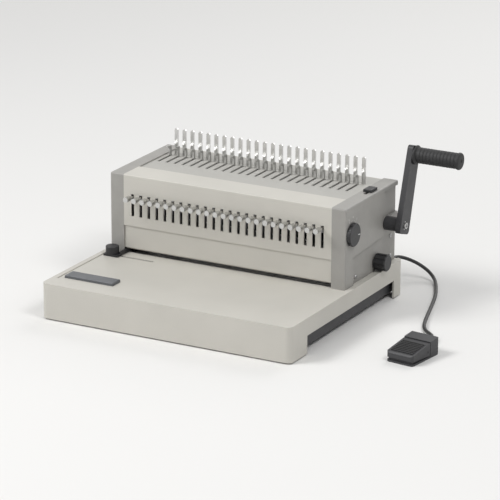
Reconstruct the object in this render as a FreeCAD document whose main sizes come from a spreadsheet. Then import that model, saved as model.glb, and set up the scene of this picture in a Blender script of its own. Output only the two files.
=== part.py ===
import FreeCAD, Part
import math
import os

import Sketcher

# Electric comb binding machine with a foot pedal, in millimetres and degrees.
# In the machine's own numbers x is 0 on its centre plane, y is 0 at the front of the base and
# grows towards the back, and z is 0 on the table. Every piece is then placed so that the
# origin of the whole object is the centre of its outline on the table.

SIZES = {
    # Row of punches: the comb's standard pitch is nine sixteenths of an inch
    "hole_pitch": 14.2875,
    "hole_count": 24,
    "punch_width": 8.0,
    "punch_thick": 3.0,
    "punch_gap": 0.15,
    "punch_row": 210.0,
    "punch_tip": 66.0,
    "stroke": 26.0,
    # Base
    "base_width": 426.0,
    "base_depth": 370.0,
    "deck_height": 56.0,
    "rim_rise": 1.2,
    "front_rim": 32.0,
    "side_rim": 8.5,
    "base_corner": 10.0,
    "base_wall": 3.0,
    "skirt_lift": 2.0,
    "arch_height": 30.0,
    "front_foot": 52.0,
    "rear_foot": 30.0,
    "pan_inset": 9.5,
    "pan_front": 14.0,
    "pan_lift": 8.0,
    "pan_wall": 2.0,
    "foot_radius": 12.0,
    "foot_inset": 26.0,
    "works_front": 236.0,
    "works_back": 350.0,
    # Chip tray, which pulls out on the left
    "tray_depth": 40.0,
    "tray_height": 17.5,
    "tray_wall": 1.5,
    "tray_length": 376.0,
    "tray_lip": 8.0,
    "slide_gap": 0.3,
    # Die and punch guide
    "die_thick": 12.0,
    "die_depth": 26.0,
    "die_flange": 4.0,
    "throat": 7.0,
    "guide_front": 193.0,
    "guide_back": 214.5,
    "guide_top": 101.0,
    "lead_in": 2.0,
    # Head
    "head_front": 191.0,
    "head_back": 366.0,
    "head_top": 183.0,
    "head_half": 204.0,
    "column_width": 24.0,
    "cover_wall": 2.0,
    "leg_depth": 26.0,
    "leg_height": 101.0,
    "cover_slope": 9.0,
    "side_step": 4.0,
    "notch_front": 320.0,
    "notch_low": 134.0,
    "notch_high": 176.0,
    "cover_radius": 2.5,
    "top_strip": 47.0,
    "plate_inset": 20.0,
    "plate_thick": 4.0,
    "plate_front": 196.0,
    "plate_margin": 2.5,
    "top_plate_front": 230.0,
    "vent_count": 9,
    "vent_pitch": 9.0,
    "vent_width": 3.0,
    "vent_length": 34.0,
    # Pull pins
    "pin_height": 149.0,
    "pin_size": 3.2,
    "pin_gap": 0.15,
    "pin_knob_radius": 4.2,
    "pin_knob_length": 11.0,
    "pin_reach": 22.0,
    "pin_slot_width": 5.2,
    "pin_slot_over": 3.5,
    "pin_slot_under": 6.0,
    # Ram and its drive
    "ram_front": 203.0,
    "ram_back": 217.0,
    "ram_low": 137.0,
    "ram_high": 161.0,
    "tooth_module": 2.0,
    "backlash": 0.4,
    "ram_pinion_teeth": 24,
    "ram_pinion_inset": 12.0,
    "gear_width": 8.0,
    "rack_low": 90.0,
    "punch_shaft_y": 250.0,
    "punch_shaft_z": 98.0,
    "punch_shaft_radius": 8.0,
    "big_gear_teeth": 32,
    "small_gear_teeth": 25,
    "big_gear_x": 120.0,
    "drive_drop": 27.0,
    "drive_shaft_radius": 6.0,
    "running_gap": 0.05,
    "bush_wall": 2.5,
    "motor_radius": 30.0,
    "motor_length": 78.0,
    "gearbox_size": 62.0,
    "gearbox_length": 40.0,
    "gearbox_face": -8.0,
    "knob_radius": 13.2,
    "knob_length": 20.0,
    "knob_flutes": 10,
    # Comb opener
    "tine_width": 6.0,
    "tine_thick": 2.6,
    "tine_row": 327.0,
    "tine_height": 43.0,
    "hook_thick": 3.0,
    "hook_shank": 4.0,
    "hook_nose": 7.0,
    "hook_rise": 16.0,
    "hook_gap": 5.0,
    "comb_slot_width": 4.4,
    "comb_slot_spare": 2.0,
    "lever_y": 326.0,
    "lever_z": 126.0,
    "lever_teeth": 21,
    "lever_swing": 90.0,
    "opener_pinion_x": 145.0,
    "opener_shaft_radius": 7.0,
    "carriage_low": 157.0,
    "carriage_high": 167.0,
    "carriage_depth": 16.0,
    # Lever
    "lever_lean": 17.0,
    "lever_length": 109.0,
    "arm_start": 228.0,
    "arm_thick": 9.0,
    "arm_foot_width": 32.0,
    "arm_head_width": 27.0,
    "arm_foot": 13.0,
    "arm_head": 14.0,
    "hub_radius": 11.0,
    "grip_length": 76.0,
    "grip_radius": 12.5,
    "grip_rings": 6,
    "grip_flange": 15.0,
    # Depth dial and stop
    "dial_y": 210.0,
    "dial_z": 139.6,
    "dial_radius": 18.0,
    "dial_thick": 6.0,
    "dial_flutes": 12,
    "dial_spindle": 4.0,
    "dial_turn": 120.0,
    "cam_radius": 16.0,
    "cam_gap": 0.5,
    "stop_travel": 4.0,
    "stop_clearance": 0.5,
    "stop_depth": 8.0,
    "stop_height": 6.0,
    # Edge guide, hand switch bar and opening limiter
    "guide_x": -190.0,
    "guide_y": 172.0,
    "guide_travel": 70.0,
    "guide_slot": 5.0,
    "guide_knob_radius": 10.5,
    "guide_knob_height": 12.0,
    "guide_face": -175.5,
    "bar_left": -196.0,
    "bar_length": 84.0,
    "bar_front": 41.0,
    "bar_depth": 23.0,
    "bar_rise": 4.5,
    "bar_travel": 3.0,
    "bar_gap": 0.5,
    "limiter_inset": 12.0,
    "limiter_y": 295.0,
    "limiter_size": 14.0,
    "limiter_length": 20.0,
    "limiter_slot": 5.0,
    "limiter_forward": 16.0,
    "limiter_back": 18.0,
    # Mains inlet and switch on the back
    "inlet_x": -140.0,
    "inlet_z": 86.0,
    "inlet_width": 27.0,
    "inlet_height": 20.0,
    "inlet_depth": 16.0,
    "inlet_rim": 5.0,
    "switch_x": -98.0,
    "switch_width": 15.0,
    "switch_height": 27.0,
    "board_left": 4.0,
    "board_width": 74.0,
    "board_height": 68.0,
    # Foot pedal and its cord
    "pedal_x": 352.6,
    "pedal_y": 117.6,
    "pedal_turn": 7.3,
    "pedal_width": 46.0,
    "pedal_length": 72.0,
    "pedal_front_height": 16.0,
    "pedal_back_height": 27.0,
    "pedal_corner": 5.0,
    "pedal_wall": 2.0,
    "pedal_sole": 3.0,
    "pedal_press": 5.0,
    "treadle_end": 11.0,
    "pedal_pivot_inset": 6.0,
    "pedal_pivot_z": 11.0,
    "pedal_pin": 1.6,
    "tread_ribs": 8,
    "tread_pitch": 4.4,
    "tread_rib": 2.4,
    "cord_radius": 2.75,
    "gland_x": 178.0,
    "gland_z": 42.0,
    "gland_length": 24.0,
    "relief_x": -10.0,
    "relief_z": 8.0,
    "relief_length": 14.0,
}

doc = FreeCAD.newDocument("comb_binding_machine")
sheet = doc.addObject("Spreadsheet::Sheet", "Sizes")
for row, (alias, number) in enumerate(SIZES.items(), start=1):
    sheet.set(f"A{row}", alias)
    sheet.set(f"B{row}", str(number))
    sheet.setAlias(f"B{row}", alias)
doc.recompute()


class Size:
    """A number together with the formula that gives it from the sheet."""

    def __init__(self, number, formula):
        self.number = number
        self.formula = formula

    @staticmethod
    def of(value):
        return value if isinstance(value, Size) else Size(float(value), repr(float(value)))

    def __add__(self, other):
        other = Size.of(other)
        return Size(self.number + other.number, f"({self.formula} + {other.formula})")

    def __sub__(self, other):
        other = Size.of(other)
        return Size(self.number - other.number, f"({self.formula} - {other.formula})")

    def __mul__(self, other):
        other = Size.of(other)
        return Size(self.number * other.number, f"({self.formula} * {other.formula})")

    def __truediv__(self, other):
        other = Size.of(other)
        return Size(self.number / other.number, f"({self.formula} / {other.formula})")

    def __radd__(self, other):
        return Size.of(other) + self

    def __rsub__(self, other):
        return Size.of(other) - self

    def __rmul__(self, other):
        return Size.of(other) * self

    def __neg__(self):
        return Size(-self.number, f"(-1 * {self.formula})")


class Dimensions:
    """The driving dimensions by name."""

    def __getattr__(self, name):
        return Size(float(SIZES[name]), f"Sizes.{name}")


d = Dimensions()


def sine(angle):
    return Size(math.sin(math.radians(angle.number)), f"sin({angle.formula} * 1 deg)")


def cosine(angle):
    return Size(math.cos(math.radians(angle.number)), f"cos({angle.formula} * 1 deg)")


def root(value):
    return Size(math.sqrt(value.number), f"sqrt({value.formula})")


def bind(target, path, value):
    target.setExpression(path, Size.of(value).formula)


# Primitives: each takes spans or centres in the machine's own numbers

UPRIGHT = FreeCAD.Rotation()
ALONG_X = FreeCAD.Rotation(FreeCAD.Vector(0, 1, 0), 90)
ALONG_Y = FreeCAD.Rotation(FreeCAD.Vector(1, 0, 0), -90)
FACE_X = FreeCAD.Rotation(FreeCAD.Vector(1, 1, 1), 120)
FACE_Y = FreeCAD.Rotation(FreeCAD.Vector(1, 0, 0), 90)


def set_base(target, x, y, z):
    bind(target, "Placement.Base.x", x)
    bind(target, "Placement.Base.y", y)
    bind(target, "Placement.Base.z", z)


def block(name, x, y, z):
    """A box between two values on each axis."""
    box = doc.addObject("Part::Box", name)
    bind(box, "Length", x[1] - x[0])
    bind(box, "Width", y[1] - y[0])
    bind(box, "Height", z[1] - z[0])
    set_base(box, x[0], y[0], z[0])
    return box


def rod(name, axis, centre, radius, span):
    """A cylinder along an axis: centre gives its other two coordinates, in x, y, z order."""
    cylinder = doc.addObject("Part::Cylinder", name)
    bind(cylinder, "Radius", radius)
    bind(cylinder, "Height", span[1] - span[0])
    turn(cylinder, axis, centre, span[0])
    return cylinder


def cone(name, axis, centre, radii, span):
    """A cone or taper along an axis, with its radius at the start and end of the span."""
    taper = doc.addObject("Part::Cone", name)
    bind(taper, "Radius1", radii[0])
    bind(taper, "Radius2", radii[1])
    bind(taper, "Height", span[1] - span[0])
    turn(taper, axis, centre, span[0])
    return taper


def turn(target, axis, centre, start):
    if axis == "x":
        target.Placement.Rotation = ALONG_X
        set_base(target, start, centre[0], centre[1])
    elif axis == "y":
        target.Placement.Rotation = ALONG_Y
        set_base(target, centre[0], start, centre[1])
    else:
        set_base(target, centre[0], centre[1], start)


def draw(sketch, outlines):
    """Closed outlines of straight lines, every corner held by its two formulas."""
    for corners in outlines:
        first = sketch.GeometryCount
        count = len(corners)
        spots = [FreeCAD.Vector(Size.of(a).number, Size.of(b).number, 0) for a, b in corners]
        for step in range(count):
            line = Part.LineSegment(spots[step], spots[(step + 1) % count])
            sketch.addGeometry(line, False)
        for step in range(count):
            after = first + (step + 1) % count
            sketch.addConstraint(Sketcher.Constraint("Coincident", first + step, 2, after, 1))
        for step, (a, b) in enumerate(corners):
            for kind, value in (("DistanceX", a), ("DistanceY", b)):
                number = Size.of(value).number
                rule = Sketcher.Constraint(kind, -1, 1, first + step, 1, number)
                index = sketch.addConstraint(rule)
                bind(sketch, f"Constraints[{index}]", value)


def prism(name, axis, corners, span):
    """An outline in the plane across an axis, drawn out along that axis."""
    sketch = doc.addObject("Sketcher::SketchObject", name + "_outline")
    if axis == "x":
        sketch.Placement.Rotation = FACE_X
        direction = FreeCAD.Vector(1, 0, 0)
    elif axis == "y":
        sketch.Placement.Rotation = FACE_Y
        direction = FreeCAD.Vector(0, 1, 0)
    else:
        direction = FreeCAD.Vector(0, 0, 1)
    bind(sketch, f"Placement.Base.{axis}", span[0])
    draw(sketch, [corners])
    drawn = doc.addObject("Part::Extrusion", name)
    drawn.Base = sketch
    drawn.DirMode = "Custom"
    drawn.Dir = direction
    drawn.Solid = True
    bind(drawn, "LengthFwd", span[1] - span[0])
    return drawn


def fuse(name, *shapes):
    joined = doc.addObject("Part::MultiFuse", name)
    joined.Shapes = list(shapes)
    joined.Refine = True
    return joined


def cut(name, base, *tools):
    removed = doc.addObject("Part::Cut", name)
    removed.Base = base
    removed.Tool = tools[0] if len(tools) == 1 else fuse(name + "_tools", *tools)
    removed.Refine = True
    return removed


def group(name, shapes):
    gathered = doc.addObject("Part::Compound", name)
    gathered.Links = list(shapes)
    return gathered


def edge_numbers(shape, test):
    return [number for number, edge in enumerate(shape.Edges, start=1) if test(edge)]


def rounded(name, base, radius, test):
    """A fillet on the edges of a Part object that pass the test."""
    doc.recompute()
    smooth = doc.addObject("Part::Fillet", name)
    smooth.Base = base
    size = radius.number
    smooth.Edges = [(number, size, size) for number in edge_numbers(base.Shape, test)]
    return smooth


def runs_along(edge, axis):
    """True for a straight edge that is parallel to the axis."""
    if edge.Curve.TypeId != "Part::GeomLine":
        return False
    way = edge.Curve.Direction
    return abs(getattr(way, axis)) > 0.999


class Body:
    """A PartDesign body whose sketches lie across an axis at a given place."""

    PLANES = {"x": "YZ_Plane", "y": "XZ_Plane", "z": "XY_Plane"}
    LINES = {"x": "X_Axis", "y": "Y_Axis", "z": "Z_Axis"}

    def __init__(self, name):
        self.name = name
        self.body = doc.addObject("PartDesign::Body", name)
        self.steps = 0

    def origin(self, role):
        return next(item for item in self.body.Origin.OriginFeatures if item.Role == role)

    def label(self, kind):
        self.steps += 1
        return f"{self.name}_{kind}_{self.steps}"

    def sketch(self, axis, place, outlines):
        sketch = self.body.newObject("Sketcher::SketchObject", self.label("sketch"))
        sketch.AttachmentSupport = (self.origin(self.PLANES[axis]), [""])
        sketch.MapMode = "FlatFace"
        offset = -Size.of(place) if axis == "y" else Size.of(place)
        bind(sketch, "AttachmentOffset.Base.z", offset)
        draw(sketch, outlines)
        return sketch

    def pad(self, axis, span, *outlines):
        """Material between two places on an axis."""
        place = span[1] if axis == "y" else span[0]
        sketch = self.sketch(axis, place, outlines)
        feature = self.body.newObject("PartDesign::Pad", self.label("pad"))
        feature.Profile = sketch
        bind(feature, "Length", span[1] - span[0])
        return feature

    def pocket(self, axis, span, *outlines):
        """Material taken away between two places on an axis."""
        place = span[0] if axis == "y" else span[1]
        sketch = self.sketch(axis, place, outlines)
        feature = self.body.newObject("PartDesign::Pocket", self.label("pocket"))
        feature.Profile = sketch
        bind(feature, "Length", span[1] - span[0])
        return feature

    def bore(self, axis, span, centre, radius):
        """A round hole, its centre in the other two coordinates in x, y, z order."""
        place = span[0] if axis == "y" else span[1]
        sketch = self.sketch(axis, place, [])
        self.circle(sketch, centre, radius)
        feature = self.body.newObject("PartDesign::Pocket", self.label("bore"))
        feature.Profile = sketch
        bind(feature, "Length", span[1] - span[0])
        return feature

    def disc(self, axis, span, centre, radius):
        """Round material between two places on an axis."""
        place = span[1] if axis == "y" else span[0]
        sketch = self.sketch(axis, place, [])
        self.circle(sketch, centre, radius)
        feature = self.body.newObject("PartDesign::Pad", self.label("disc"))
        feature.Profile = sketch
        bind(feature, "Length", span[1] - span[0])
        return feature

    def circle(self, sketch, centre, radius):
        across, along = Size.of(centre[0]), Size.of(centre[1])
        size = Size.of(radius)
        middle = FreeCAD.Vector(across.number, along.number, 0)
        number = sketch.GeometryCount
        sketch.addGeometry(Part.Circle(middle, FreeCAD.Vector(0, 0, 1), size.number), False)
        rules = (
            (Sketcher.Constraint("DistanceX", -1, 1, number, 3, across.number), across),
            (Sketcher.Constraint("DistanceY", -1, 1, number, 3, along.number), along),
            (Sketcher.Constraint("Radius", number, size.number), size),
        )
        for rule, value in rules:
            bind(sketch, f"Constraints[{sketch.addConstraint(rule)}]", value)

    def row(self, feature, axis, pitch, count):
        """Copies of a feature at a steady pitch along an axis."""
        pattern = self.body.newObject("PartDesign::LinearPattern", self.label("row"))
        pattern.Originals = [feature]
        pattern.Direction = (self.origin(self.LINES[axis]), [""])
        bind(pattern, "Length", pitch * (count - 1))
        bind(pattern, "Occurrences", count)
        self.body.Tip = pattern
        return pattern

    def ring(self, feature, axis, count):
        """Copies of a feature round an axis of the body, over a full turn."""
        pattern = self.body.newObject("PartDesign::PolarPattern", self.label("ring"))
        pattern.Originals = [feature]
        pattern.Axis = (self.origin(self.LINES[axis]), [""])
        pattern.Angle = 360
        bind(pattern, "Occurrences", count)
        self.body.Tip = pattern
        return pattern

    def revolve(self, axis, outline):
        """An outline of places along an axis and radii, turned round that axis."""
        plane = "y" if axis in "xz" else "z"
        if axis == "x":
            corners = outline
        elif axis == "z":
            corners = [(radius, place) for place, radius in outline]
        else:
            corners = [(radius, place) for place, radius in outline]
        sketch = self.sketch(plane, 0, [corners])
        feature = self.body.newObject("PartDesign::Revolution", self.label("revolve"))
        feature.Profile = sketch
        feature.ReferenceAxis = (self.origin(self.LINES[axis]), [""])
        feature.Angle = 360
        return feature

    def soften(self, kind, size, test):
        """A Fillet or Chamfer on the edges of the last feature that pass the test."""
        doc.recompute()
        last = self.body.Tip
        names = [f"Edge{number}" for number in edge_numbers(last.Shape, test)]
        feature = self.body.newObject(f"PartDesign::{kind}", self.label(kind.lower()))
        feature.Base = (last, names)
        bind(feature, "Radius" if kind == "Fillet" else "Size", size)
        return feature


def corners_of(first, second):
    """The four corners of a rectangle from its span on each axis."""
    return [
        (first[0], second[0]),
        (first[1], second[0]),
        (first[1], second[1]),
        (first[0], second[1]),
    ]


def around(centre, size):
    """The span of a given size around a centre."""
    return (centre - size / 2, centre + size / 2)


def sided(side, inner, outer):
    """A span on the right of the machine, or its mirror image on the left."""
    return (inner, outer) if side > 0 else (-outer, -inner)


# Toothed wheels and racks, with involute flanks at a pressure angle of 20 degrees

PRESSURE = math.radians(20)
ADDENDUM = 0.95
DEDENDUM = 1.25


def involute(angle):
    return math.tan(angle) - angle


def half_tooth(teeth, radius):
    """Half a tooth's angle at a radius, less its share of the backlash."""
    pitch_radius = SIZES["tooth_module"] * teeth / 2
    base_radius = pitch_radius * math.cos(PRESSURE)
    flank = math.acos(min(1.0, base_radius / radius))
    thinner = SIZES["backlash"] / 2 / pitch_radius
    return math.pi / 2 / teeth + involute(PRESSURE) - involute(flank) - thinner


def wheel(name, teeth, width, start, centre, points_at):
    """A gear on the x axis. points_at is the direction of one tooth, from +y towards +z."""
    module = d.tooth_module
    pitch_radius = module * teeth / 2
    root_radius = pitch_radius - module * DEDENDUM
    gear = Body(name)
    gear.disc("x", (Size.of(0), width), (0, 0), root_radius)
    tall = module.number
    number = pitch_radius.number
    flank = []
    for level in (-DEDENDUM, ADDENDUM):
        radius = number + level * tall
        flank.append((radius, half_tooth(teeth.number, radius)))
    sunk = (root_radius.number - 0.6, flank[0][1])
    shape = [sunk] + flank
    outline = shape + [(radius, -angle) for radius, angle in reversed(shape)]
    corners = []
    for radius, angle in outline:
        corners.append((radius * math.cos(angle + points_at), radius * math.sin(angle + points_at)))
    tooth = gear.pad("x", (Size.of(0), width), corners)
    gear.ring(tooth, "x", teeth)
    set_base(gear.body, start, centre[0], centre[1])
    return gear.body


def rack_tooth(along, across, up):
    """The outline of one rack tooth. along and across are its middle on the pitch line, and up
    is 1 or -1 for the side that it stands on."""
    module = SIZES["tooth_module"]
    half = math.pi * module / 4 - SIZES["backlash"] / 4
    corners = []
    for level, sign in ((-DEDENDUM - 0.3, -1), (ADDENDUM, -1), (ADDENDUM, 1), (-DEDENDUM - 0.3, 1)):
        reach = half - level * module * math.tan(PRESSURE)
        corners.append((along + sign * reach, across + up * level * module))
    return corners


PIECES = {}


def piece(name, made, x=0, y=0, z=0, axis=None, angle=None):
    """Names a sub-part and moves it from the machine's own numbers to the object's origin."""
    made = made.body if isinstance(made, Body) else made
    made.Label = name
    if axis is not None:
        made.Placement.Rotation = FreeCAD.Rotation(axis, Size.of(angle).number)
        bind(made, "Placement.Rotation.Angle", Size.of(angle))
    set_base(made, origin_x + x, origin_y + y, Size.of(z))
    PIECES[name] = made


# Places that several pieces share

half_base = d.base_width / 2
deck = d.deck_height
under_deck = deck - d.base_wall
first_hole = -d.hole_pitch * (d.hole_count - 1) / 2
column_inner = d.head_half - d.column_width
plate_inner = d.head_half - d.plate_inset
plate_outer = plate_inner + d.plate_thick
limiter_x = d.head_half - d.limiter_inset
plate_back = d.head_back - d.plate_margin
ram_pinion_inner = plate_inner - d.ram_pinion_inset
stop_face = d.guide_back + d.stop_travel + d.stop_clearance
strip_low = d.head_top - d.cover_wall
plate_top = strip_low - d.cover_wall
throat_top = deck + d.throat
ram_pitch_radius = d.tooth_module * d.ram_pinion_teeth / 2
big_radius = d.tooth_module * d.big_gear_teeth / 2
small_radius = d.tooth_module * d.small_gear_teeth / 2
centres = big_radius + small_radius
drive_y = d.punch_shaft_y + root(centres * centres - d.drive_drop * d.drive_drop)
drive_z = d.punch_shaft_z - d.drive_drop
opener_radius = d.tooth_module * d.lever_teeth / 2
opener_travel = opener_radius * d.lever_swing * (math.pi / 180)
arm_end = d.arm_start + d.arm_thick
grip_end = arm_end + d.grip_length
pedal_reach_x = d.pedal_width / 2 - d.pedal_corner
pedal_reach_y = d.pedal_length / 2 - d.pedal_corner
pedal_right = (
    d.pedal_x
    + pedal_reach_x * cosine(d.pedal_turn)
    + pedal_reach_y * sine(d.pedal_turn)
    + d.pedal_corner
)
lever_back = d.lever_y + d.lever_length * sine(d.lever_lean) + d.grip_flange
origin_x = (half_base - pedal_right) / 2
origin_y = -lever_back / 2


def hole_x(number):
    return first_hole + d.hole_pitch * number


# Base: a shell on two pairs of feet, with a floor pan set back inside it

shell = Body("shell")
shell.pad(
    "z",
    (d.skirt_lift, deck + d.rim_rise),
    corners_of((-half_base, half_base), (Size.of(0), d.base_depth)),
)
shell.soften("Fillet", d.base_corner, lambda edge: runs_along(edge, "z"))
inside_x = half_base - d.base_wall
inside_y = (d.base_wall, d.base_depth - d.base_wall)
shell.pocket("z", (d.skirt_lift, under_deck), corners_of((-inside_x, inside_x), inside_y))
doc.recompute()


def inner_corner(edge):
    middle = edge.CenterOfMass
    near_x = abs(abs(middle.x) - inside_x.number) < 0.1
    near_y = min(abs(middle.y - place.number) for place in inside_y) < 0.1
    return runs_along(edge, "z") and near_x and near_y


shell.soften("Fillet", d.base_corner - d.base_wall, inner_corner)
tray_x = half_base - d.side_rim
shell.pocket(
    "z",
    (deck, deck + d.rim_rise + 1),
    corners_of((-tray_x, tray_x), (d.front_rim, d.base_depth + 1)),
)
shell.pocket(
    "x",
    (-half_base - 1, half_base + 1),
    corners_of((d.front_foot, d.base_depth - d.rear_foot), (d.skirt_lift - 1, d.arch_height)),
)
die_span = around(d.punch_row, d.die_depth)
die_half = plate_inner - 0.5
works_half = ram_pinion_inner + 4
guide_stem = (d.guide_x - d.guide_slot / 2 - 0.5, d.guide_x + d.guide_travel + d.guide_slot / 2 + 0.5)
bar_x = (d.bar_left, d.bar_left + d.bar_length)
bar_y = (d.bar_front, d.bar_front + d.bar_depth)


def wider(span, gap):
    return (span[0] - gap, span[1] + gap)


shell.pocket(
    "z",
    (under_deck - 1, deck + 1),
    corners_of(wider((-die_half, die_half), 0.2), wider(die_span, 0.2)),
    corners_of((-works_half, works_half), (d.works_front, d.works_back)),
    corners_of(guide_stem, around(d.guide_y, d.guide_slot)),
    corners_of(wider(bar_x, d.bar_gap), wider(bar_y, d.bar_gap)),
)
piece("base_shell", shell)

pan_half = half_base - d.pan_inset
pan_y = (d.pan_front, d.base_depth - d.pan_front)
pan_floor = d.pan_lift + d.pan_wall
tray_y = around(d.punch_row, d.tray_depth)
tray_z = (pan_floor + d.slide_gap, pan_floor + d.slide_gap + d.tray_height)
pan = cut(
    "pan",
    block("pan_outside", (-pan_half, pan_half), pan_y, (d.pan_lift, under_deck)),
    block(
        "pan_inside",
        wider((-pan_half, pan_half), -d.pan_wall),
        wider(pan_y, -d.pan_wall),
        (pan_floor, under_deck + 1),
    ),
    block(
        "pan_mouth",
        (-pan_half - 1, -pan_half + d.pan_wall + 1),
        wider(tray_y, d.slide_gap),
        (pan_floor, tray_z[1] + d.slide_gap),
    ),
)
piece("base_pan", pan)

feet = []
for side in (-1, 1):
    for number, foot_y in enumerate((pan_y[0] + d.foot_inset, pan_y[1] - d.foot_inset)):
        spot = ((pan_half - d.foot_inset) * side, foot_y)
        label = f"foot_{side + 1}_{number}"
        feet.append(cone(label, "z", spot, (d.foot_radius - 1.5, d.foot_radius), (Size.of(0), d.pan_lift)))
piece("rubber_feet", group("feet", feet))

# Chip tray: an open trough with a lip to pull at its left end

tray_left = -pan_half - 1
tray_right = tray_left + d.tray_length
lip_y = around(d.punch_row, d.tray_depth / 2)
tray = cut(
    "tray",
    fuse(
        "tray_solid",
        block("tray_outside", (tray_left, tray_right), tray_y, tray_z),
        block("tray_lip", (tray_left - d.tray_lip, tray_left), lip_y, (tray_z[0] + 6, tray_z[0] + 9)),
    ),
    block(
        "tray_inside",
        (tray_left + d.tray_wall, tray_right - d.tray_wall),
        wider(tray_y, -d.tray_wall),
        (tray_z[0] + d.tray_wall, tray_z[1] + 1),
    ),
)
piece("chip_tray", tray)

# Die plate, let into the deck from below and flush with it, and the punch guide above it

hole_size_x = d.punch_width + 2 * d.punch_gap
hole_size_y = d.punch_thick + 2 * d.punch_gap
hole_y = around(d.punch_row, hole_size_y)
die = Body("die")
die.pad("z", (deck - d.die_thick, deck), corners_of((-die_half, die_half), die_span))
die_flange_x = pan_half - d.pan_wall - 1
die.pad(
    "z",
    (deck - d.die_thick, under_deck),
    corners_of((-die_flange_x, die_flange_x), wider(die_span, d.die_flange)),
)
die_hole = die.pocket(
    "z",
    (deck - d.die_thick - 1, deck + 1),
    corners_of(around(first_hole, hole_size_x), hole_y),
)
die.row(die_hole, "x", d.hole_pitch, d.hole_count)
piece("die_plate", die)

guide = Body("guide")
guide.pad(
    "x",
    (-plate_inner, plate_inner),
    [
        (d.guide_front + d.lead_in, throat_top),
        (d.guide_back, throat_top),
        (d.guide_back, d.guide_top),
        (d.guide_front, d.guide_top),
        (d.guide_front, throat_top + d.lead_in),
    ],
)
guide_hole = guide.pocket(
    "z",
    (throat_top - 1, d.guide_top + 1),
    corners_of(around(first_hole, hole_size_x), hole_y),
)
guide.row(guide_hole, "x", d.hole_pitch, d.hole_count)
piece("guide_block", guide)

# Ram: a bar that carries the punches, with a toothed rack behind each end

ram = Body("ram")
ram_x = plate_inner - 0.5
tongue_x = plate_outer - 0.5
tongue_y = wider((d.ram_front, d.ram_back), -2)
ram.pad("z", (d.ram_low, d.ram_high), corners_of((-ram_x, ram_x), (d.ram_front, d.ram_back)))
ram.pad("z", (d.ram_low, d.ram_high), corners_of((-tongue_x, tongue_x), tongue_y))
ram_pitch_y = d.punch_shaft_y - ram_pitch_radius
rack_root = ram_pitch_y - d.tooth_module * DEDENDUM
rack_x = (ram_pinion_inner, ram_pinion_inner + d.gear_width)
circular = d.tooth_module * math.pi
rack_teeth = 7
for side in (-1, 1):
    span = sided(side, rack_x[0], rack_x[1])
    ram.pad("z", (d.rack_low, d.ram_high), corners_of(span, (d.ram_back - 0.5, rack_root)))
    outline = rack_tooth(0, 0, 1)
    lowest = d.punch_shaft_z - circular / 2
    corners = [(ram_pitch_y + up, lowest + along) for along, up in outline]
    tooth = ram.pad("x", span, corners)
    ram.row(tooth, "z", circular, Size.of(rack_teeth))
slot = ram.pocket(
    "z",
    (d.ram_low - 1, d.ram_high + 1),
    corners_of(around(first_hole, hole_size_x), hole_y),
)
ram.row(slot, "x", d.hole_pitch, d.hole_count)
pin_hole_size = d.pin_size + 2 * d.pin_gap
pin_hole = ram.pocket(
    "y",
    (d.ram_front - 1, d.punch_row),
    corners_of(around(first_hole, pin_hole_size), around(d.pin_height, pin_hole_size)),
)
ram.row(pin_hole, "x", d.hole_pitch, d.hole_count)
piece("ram_bar", ram)

# Punches: flat blades with a cross hole for the pull pin

blades = []
for number in range(SIZES["hole_count"]):
    blade = block(
        f"blade_{number}",
        around(hole_x(number), d.punch_width),
        around(d.punch_row, d.punch_thick),
        (d.punch_tip, d.ram_high),
    )
    cross = block(
        f"blade_hole_{number}",
        around(hole_x(number), pin_hole_size),
        around(d.punch_row, d.punch_thick + 2),
        around(d.pin_height, pin_hole_size),
    )
    blades.append(cut(f"punch_{number}", blade, cross))
piece("punches", group("blades", blades))

# Pull pins: a square stem through ram and punch, and a knob in front of the cover

pin_front = d.head_front - d.pin_reach
pin_tip = d.punch_row + d.punch_thick / 2 - 0.3
for number in range(SIZES["hole_count"]):
    pin = Body(f"pin_{number + 1:02d}")
    pin.disc("y", (pin_front, pin_front + d.pin_knob_length), (0, 0), d.pin_knob_radius)
    stem_side = around(Size.of(0), d.pin_size)
    pin.pad("y", (pin_front + d.pin_knob_length - 0.5, pin_tip), corners_of(stem_side, stem_side))
    piece(f"pull_pin_{number + 1:02d}", pin, x=hole_x(number), z=d.pin_height)

# Side plates: they carry the shafts and guide the ram and the comb carriage

carriage_y = (d.tine_row - d.hook_gap - d.carriage_depth, d.tine_row - d.hook_gap)
carriage_slot = (carriage_y[0] - opener_travel - 1, carriage_y[1] + 0.5)
bush_radius = {
    "punch": d.punch_shaft_radius + d.bush_wall,
    "drive": d.drive_shaft_radius + d.bush_wall,
    "opener": d.opener_shaft_radius + d.bush_wall,
}
shaft_spots = {
    "punch": (d.punch_shaft_y, d.punch_shaft_z),
    "drive": (drive_y, drive_z),
    "opener": (d.lever_y, d.lever_z),
}
ram_slot = (d.ram_low - d.stroke - 0.5, d.ram_high + 0.5)
carriage_tongue = (d.carriage_low + 1, d.carriage_high - 1)
stop_window = (stop_face - d.stop_travel - 1, stop_face + d.stop_depth + 5)
plates = []
for side, word in ((-1, "left"), (1, "right")):
    span = sided(side, plate_inner, plate_outer)
    through = wider(span, 1)
    holes = [
        block(f"{word}_ram_slot", through, wider(tongue_y, d.slide_gap), ram_slot),
        block(f"{word}_carriage_slot", through, carriage_slot, wider(carriage_tongue, d.slide_gap)),
    ]
    for shaft in ("punch", "opener") if side < 0 else ("punch", "opener", "drive"):
        holes.append(rod(f"{word}_{shaft}_seat", "x", shaft_spots[shaft], bush_radius[shaft], through))
    if side > 0:
        holes.append(block("stop_window", through, stop_window, (deck - 1, deck + d.stop_height + 2)))
    sheet_metal = block(f"{word}_plate_blank", span, (d.plate_front, plate_back), (deck, plate_top))
    plates.append(cut(f"{word}_plate", sheet_metal, *holes))
piece("side_plates", group("plates", plates))

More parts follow.
